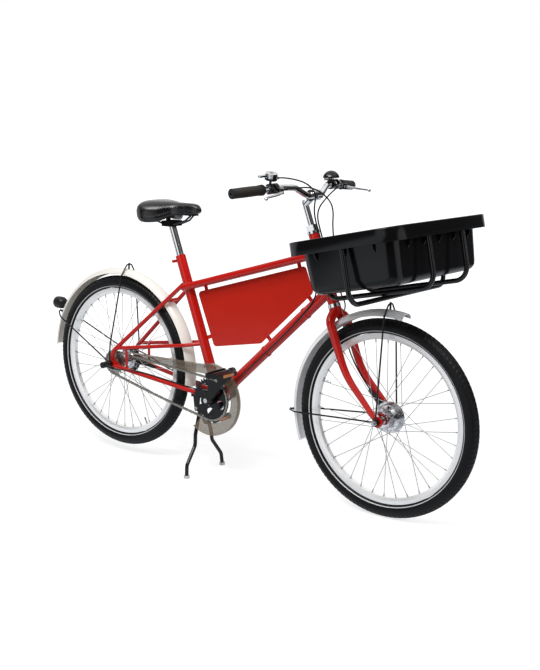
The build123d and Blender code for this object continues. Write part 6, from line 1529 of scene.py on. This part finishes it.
@dataclass
class Tray:
    """The moulded load tray, in its own tilted frame that starts at the middle of its rear rim.

    Attributes:
        draft: How far its walls lean in.
        foot: Size of the rounded edge of its floor.
        web: Outline of a web under the rim, as distance outwards and down.
    """

    origin: Point = (0.5586, 0.0, 0.90731)
    tilt: float = 11.4
    length: float = 0.412
    width: float = 0.612
    depth: float = 0.172
    wall: float = 0.0035
    rim_height: float = 0.043
    rim_width: float = 0.034
    draft: float = 0.012
    foot: float = 0.026
    corner: float = 0.075
    corner_steps: int = 8
    webs: int = 5
    side_webs: int = 3
    web: tuple[Pair, ...] = (
        (-0.004, 0.0207), (0.0135, 0.0207), (0.0135, 0.028), (0.004, 0.058), (-0.004, 0.067),
        (-0.0075, 0.067))
    web_half: float = 0.0018

    def place(self, along: float, across: float, depth: float) -> Vector:
        """Return a point of the tray by its place in the tray's own frame."""
        lean = math.radians(self.tilt)
        return Vector(self.origin) + Vector((along * math.cos(lean) + depth * math.sin(lean), across,
                                             along * math.sin(lean) - depth * math.cos(lean)))

    def ring(self, inset: float, depth: float) -> list[Vector]:
        """Work out a rounded rectangle inside the rim's outline.

        Args:
            inset: Its distance from the outline.
            depth: Its depth below the rim.

        Returns:
            Points round the rectangle.
        """
        corner = max(self.corner - inset * 0.75, 0.008)
        half_long, half_wide = self.length / 2 - inset - corner, self.width / 2 - inset - corner
        ring = []
        for quarter, (one, two) in enumerate(((1, 1), (-1, 1), (-1, -1), (1, -1))):
            for step in range(self.corner_steps + 1):
                turn = math.pi / 2 * (quarter + step / self.corner_steps)
                ring.append(self.place(self.length / 2 + one * half_long + corner * math.cos(turn),
                                       two * half_wide + corner * math.sin(turn), depth))
        return ring

    def shell(self) -> Mesh:
        """Build the tub with its rolled rim as one closed skin.

        Returns:
            The mesh.
        """
        wall, rim, foot, drop = self.wall, self.rim_width, self.foot, self.rim_height
        low = self.depth - foot
        lean = self.draft / self.depth
        bottom = rim + lean * low
        deck = self.depth - wall
        profile = [(bottom + foot * 1.6, deck), (bottom + foot * 0.9 + wall, deck),
                   (bottom + foot * 0.42 + wall, deck - foot * 0.22),
                   (bottom + wall + foot * 0.12, deck - foot * 0.62),
                   (bottom + wall - lean * wall, low - wall * 2)]
        profile += [(rim + wall + lean * 0.012, 0.012), (rim + wall + 0.0002, 0.0045),
                    (rim + wall - 0.0008, 0.0016), (rim + wall - 0.003, 0.0002),
                    (rim * 0.5, 0.0), (0.0045, 0.0), (0.0018, 0.0006),
                    (0.0005, 0.0020), (0.0, 0.0045), (0.0, drop - 0.002), (0.0006, drop - 0.0004),
                    (0.0018, drop), (wall - 0.0004, drop), (wall, drop - 0.001), (wall, wall + 0.0015),
                    (wall + 0.0015, wall), (rim - 0.0015, wall), (rim, wall + 0.0015)]
        profile += [(bottom, low - wall), (bottom + foot * 0.10, self.depth - foot * 0.62),
                    (bottom + foot * 0.40, self.depth - foot * 0.24), (bottom + foot * 0.85, self.depth),
                    (bottom + foot * 1.6, self.depth)]
        return skinned("tray_shell", [[self.ring(inset, depth) for inset, depth in profile]], 40.0)

    def rim_web(self, outward: Vector) -> Object:
        """Build one web under the rim, about the origin, that runs from the wall outwards.

        Args:
            outward: Direction from the wall to the rim's edge.

        Returns:
            An object that the tree repeats.
        """
        up = self.place(0.0, 0.0, -1.0) - Vector(self.origin)
        thick = outward.cross(up).normalized() * self.web_half
        rings = [[outward * out - up * down + side for out, down in self.web] for side in (-thick, thick)]
        return add_object("rim_web", skinned("rim_web", [rings]))

    def build(self, trees: RepeatTrees) -> None:
        """Build and dress the tray and the webs under its rim.

        Args:
            trees: The repeating trees.
        """
        trees.paint.show("tray_shell", self.shell(), Finishes.TRAY, "frame", "tray")
        along = self.place(1.0, 0.0, 0.0) - Vector(self.origin)
        step = self.width / (self.webs + 1.5)
        start = self.place(self.length - self.rim_width, -step * (self.webs - 1) / 2, 0.0)
        rows = [("front", along, self.webs, start, ACROSS * step)]
        step = self.length / (self.side_webs + 1)
        for name, side in (("right", -1), ("left", 1)):
            start = self.place(step, side * (self.width / 2 - self.rim_width), 0.0)
            rows.append((name, ACROSS * side, self.side_webs, start, along * step))
        for name, outward, count, start, move in rows:
            trees.run(trees.in_row, f"tray_{name}_webs", {
                "Copy": self.rim_web(outward), "Count": count, "Start": start, "Step": move},
                Finishes.TRAY, "frame")


# Pedals


@dataclass
class PedalTrim:
    """The reflectors and tread studs on a pedal.

    Attributes:
        near: Distance of the pedal's inner end from the middle plane.
        reflector: Half width and half height of a reflector, whose corners are shares of both.
        steps: How far a reflector's steps stand out of the pedal, and their shares of its size.
        stud: A stud's profile as height and radius.
        stud_inset: How far the studs sit inside the pedal's edge and under its top.
        bare: Length of the pedal without studs.
    """

    hand: str
    spindle: Vector
    near: float = 0.084
    length: float = 0.092
    half_depth: float = 0.033
    half_height: float = 0.012
    reflector: Pair = (0.029, 0.0052)
    corners: tuple[Pair, ...] = (
        (-1, -0.7), (-0.93, -1), (0.93, -1), (1, -0.7), (1, 0.7), (0.93, 1), (-0.93, 1), (-1, 0.7))
    steps: tuple[Pair, ...] = ((-0.003, 1.0), (0.0008, 1.0), (0.0016, 0.9))
    stud: tuple[Pair, ...] = ((0.0, 0.0026), (0.0016, 0.0026), (0.0021, 0.0018))
    stud_inset: Pair = (0.0125, 0.0016)
    studs: int = 10
    bare: float = 0.014

    def build(self, trees: RepeatTrees) -> None:
        """Build and dress the trim of one pedal.

        Args:
            trees: The repeating trees.
        """
        side = 1 if self.spindle.y > 0 else -1
        body = f"{self.hand}_pedal"
        middle = Vector((self.spindle.x, side * (self.near + self.length / 2), self.spindle.z))
        wide, high = self.reflector
        lenses = [[[middle + Vector((end * (self.half_depth + out), a * wide * shrink, b * high * shrink))
                    for a, b in self.corners] for out, shrink in self.steps] for end in (-1, 1)]
        mesh = skinned("pedal_reflectors", lenses)
        trees.paint.show(f"{self.hand}_pedal_reflectors", mesh, Finishes.AMBER, body)
        edge, top = self.half_depth - self.stud_inset[0], self.half_height - self.stud_inset[1]
        studs = [turned_rings(self.stud, Vector((end * edge, 0, up * top)), UPWARD * up, 6)
                 for end in (-1, 1) for up in (-1, 1)]
        step = ACROSS * ((self.length - self.bare) / (self.studs - 1))
        trees.run(trees.in_row, f"{self.hand}_pedal_studs", {
            "Copy": add_object("tread_stud", skinned("tread_stud", studs)), "Count": self.studs,
            "Start": middle - step * ((self.studs - 1) / 2), "Step": step}, Finishes.PLASTIC, body)


# Studio


@dataclass(frozen=True)
class SoftLight:
    """A soft rectangular light, with its width, height and watts; glossy surfaces may mirror it."""

    name: str
    place: Point
    size: Pair
    power: float
    mirrored: bool = True

    def hang(self, target: Point) -> None:
        """Hang the light so that it faces a target.

        Args:
            target: The target.
        """
        data = bpy.data.lights.new(self.name, "AREA")
        data.shape = "RECTANGLE"
        data.size, data.size_y = self.size
        data.energy = self.power
        light = add_object(self.name, data)
        light.location = self.place
        light.rotation_euler = (Vector(target) - Vector(self.place)).to_track_quat("-Z", "Y").to_euler()
        light.visible_glossy = self.mirrored


@dataclass
class Studio:
    """The floor, the light and the camera of the picture.

    A ramp holds where it starts and ends, and its values there.

    Attributes:
        camera: Place of the camera.
        azimuth: Degrees from straight ahead of the right side.
        elevation: Degrees above the horizon.
        roll: Degrees of tilt of the picture.
        lens: Focal length for a 36 mm long side.
        backdrop: Direction from the bicycle to the white background.
        backdrop_edge: Cosines of the angles from its middle where it starts and is full in a mirror.
        softboxes: Directions from the bicycle to pale screens about it, which only mirrors show.
        softbox_edge: The same cosines for these screens.
        overhead: Ramp of the surround's brightness in a mirror, by height.
        daylight: Ramp of the surround's light, from the rear to the front.
        floor_glow: Ramp of the glow that lifts the floor in the picture, by distance.
        floor_mirror: Ramp of the floor's brightness in a mirror, by distance.
        target: What the lights face.
    """

    camera: Point = (2.52498, -2.98478, 1.26646)
    azimuth: float = 36.73
    elevation: float = 10.89
    roll: float = 0.35
    lens: float = 58.98
    backdrop: Point = (-0.6, 0.8, 0.0)
    backdrop_edge: Pair = (0.50, 0.90)
    softboxes: tuple[Point, ...] = ((0.99, 0.12, 0.0), (0.03, -1.0, 0.0), (-0.96, -0.29, 0.0))
    softbox_edge: Pair = (0.89, 0.97)
    overhead: Ramp = (0.35, 0.8, 0.03, 1.0)
    daylight: Ramp = (-0.7, 0.3, 0.26, 0.64)
    floor_glow: Ramp = (1.4, 3.4, 0.70, 1.0)
    floor_mirror: Ramp = (1.6, 3.8, 0.62, 0.06)
    floor_size: float = 60.0
    target: Point = (0.2, 0.0, 0.6)
    lights: tuple[SoftLight, ...] = (
        SoftLight("key_light", (0.6, -2.6, 3.4), (2.2, 0.7), 66.0),
        SoftLight("fill_light", (3.6, 0.6, 2.2), (2.0, 2.0), 34.0, mirrored=False),
        SoftLight("strip_light", (0.2, -1.5, 3.2), (3.0, 0.16), 24.0))

    def mirrored_level(self, sheet: NodeSheet, way: NodeSocket, reach: Any, start: Any) -> NodeSocket:
        """Return how bright the surround is in a mirror, by direction.

        Args:
            sheet: The sheet of the world or of the floor.
            way: Socket with the direction or the place.
            reach: Its length.
            start: A brightness that it has at least.

        Returns:
            The socket with the brightness.
        """
        level = start
        screens = [(self.backdrop, self.backdrop_edge)]
        screens += [(place, self.softbox_edge) for place in self.softboxes]
        for place, edge in screens:
            share = sheet.math("DIVIDE", sheet.vector("DOT_PRODUCT", {0: way, 1: place})["Value"], reach)
            level = sheet.math("MAXIMUM", level, sheet.range(share, *edge, 0.0, 1.0))
        return level

    def set_camera(self) -> None:
        """Make the camera at the picture's angle."""
        turn, rise, tilt = (math.radians(x) for x in (self.azimuth, self.elevation, self.roll))
        back = Vector((math.sin(turn) * math.cos(rise), -math.cos(turn) * math.cos(rise), math.sin(rise)))
        right = Vector((math.cos(turn), math.sin(turn), 0.0))
        up = back.cross(right)
        cos, sin = math.cos(tilt), math.sin(tilt)
        right, up = right * cos + up * sin, up * cos - right * sin
        data = bpy.data.cameras.new("camera")
        data.lens = self.lens
        data.sensor_width = 36.0
        camera = add_object("camera", data)
        facing = Matrix((right, up, back)).transposed().to_4x4()
        camera.matrix_world = Matrix.Translation(self.camera) @ facing
        bpy.context.scene.camera = camera

    def set_world(self) -> None:
        """Make a surround that is white in the picture, has bright screens in mirrors and lights softly."""
        world = bpy.data.worlds.new("studio")
        sheet = cleared(world)
        path = sheet.add("ShaderNodeLightPath").outputs
        way = sheet.add("ShaderNodeTexCoord").outputs["Generated"]
        parts = sheet.add("ShaderNodeSeparateXYZ", {0: way}).outputs
        around = self.mirrored_level(sheet, way, 1.0, sheet.range(parts["Z"], *self.overhead))
        shown = sheet.math("MAXIMUM", around, path["Is Camera Ray"])
        seen, lit = (
            sheet.add("ShaderNodeBackground", {"Color": (1.0, 1.0, 1.0, 1.0), "Strength": level})
            for level in (shown, sheet.range(parts["X"], *self.daylight)))
        mirrored = sheet.math("MAXIMUM", path["Is Glossy Ray"], path["Is Transmission Ray"])
        direct = sheet.math("MAXIMUM", path["Is Camera Ray"], mirrored)
        sheet.add("ShaderNodeOutputWorld", {0: sheet.mixed(direct, lit, seen).outputs[0]})
        bpy.context.scene.world = world

    def set_floor(self) -> None:
        """Lay a wide floor that shows white where it is lit and keeps the bicycle's shadow."""
        bm = bmesh.new()
        bmesh.ops.create_grid(bm, x_segments=1, y_segments=1, size=self.floor_size)
        mesh = bpy.data.meshes.new("floor")
        bm.to_mesh(mesh)
        bm.free()
        material = bpy.data.materials.new("studio_floor")
        sheet = cleared(material)
        path = sheet.add("ShaderNodeLightPath").outputs
        place = sheet.add("ShaderNodeTexCoord").outputs["Object"]
        reach = sheet.vector("LENGTH", {0: place})["Value"]
        matte = sheet.add("ShaderNodeBsdfDiffuse", {"Color": (0.50, 0.495, 0.475, 1.0)})
        mirror_level = self.mirrored_level(sheet, place, reach, sheet.range(reach, *self.floor_mirror))
        glow, mirror = (
            sheet.add("ShaderNodeEmission", {"Color": color, "Strength": level})
            for color, level in (((0.97, 0.98, 1.0, 1.0), sheet.range(reach, *self.floor_glow)),
                                 ((0.88, 0.93, 1.0, 1.0), mirror_level)))
        lifted = sheet.add("ShaderNodeAddShader", {0: matte.outputs[0], 1: glow.outputs[0]})
        mirrored = sheet.math("MAXIMUM", path["Is Glossy Ray"], path["Is Transmission Ray"])
        shown = sheet.mixed(path["Is Camera Ray"], sheet.mixed(mirrored, matte, mirror), lifted)
        sheet.add("ShaderNodeOutputMaterial", {0: shown.outputs[0]})
        mesh.materials.append(material)
        add_object("floor", mesh)

    def build(self) -> None:
        """Set up the whole studio."""
        bpy.context.scene.view_settings.view_transform = "Standard"
        self.set_camera()
        self.set_world()
        self.set_floor()
        for light in self.lights:
            light.hang(self.target)


@dataclass
class Bicycle:
    """The whole dressed bicycle."""

    wheels: tuple[Wheel, ...] = field(default_factory=lambda: (
        Wheel("front", FRONT_AXLE, ((-0.030, 0.030), (0.026, 0.053)), -68.0),
        Wheel("rear", REAR_AXLE, ((-0.027, 0.036), (0.028, 0.036)), 153.0)))
    pedals: tuple[PedalTrim, ...] = field(default_factory=lambda: (
        PedalTrim("right", Vector((0.18602, -0.064, 0.41831))),
        PedalTrim("left", Vector((-0.04802, 0.064, 0.17169)))))

    def build(self, nodes: dict[str, Object]) -> None:
        """Dress the solids and build the finer pieces.

        Args:
            nodes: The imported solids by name.
        """
        paint = Paintbox()
        trees = RepeatTrees(paint)
        paint.dress_nodes(nodes)
        Saddle().build(trees)
        for group in (*CABLES, CableClips()):
            group.build(paint)
        for group in (*self.wheels, Chain(), Tray()):
            group.build(trees)
        Handlebar().build(paint)
        for pedal in self.pedals:
            pedal.build(trees)


def main() -> None:
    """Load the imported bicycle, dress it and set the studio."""
    logging.basicConfig(level=logging.INFO)
    bpy.ops.wm.read_factory_settings(use_empty=True)
    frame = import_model()
    Studio().build()
    Bicycle().build(frame["nodes"])


if __name__ == "__main__":
    main()
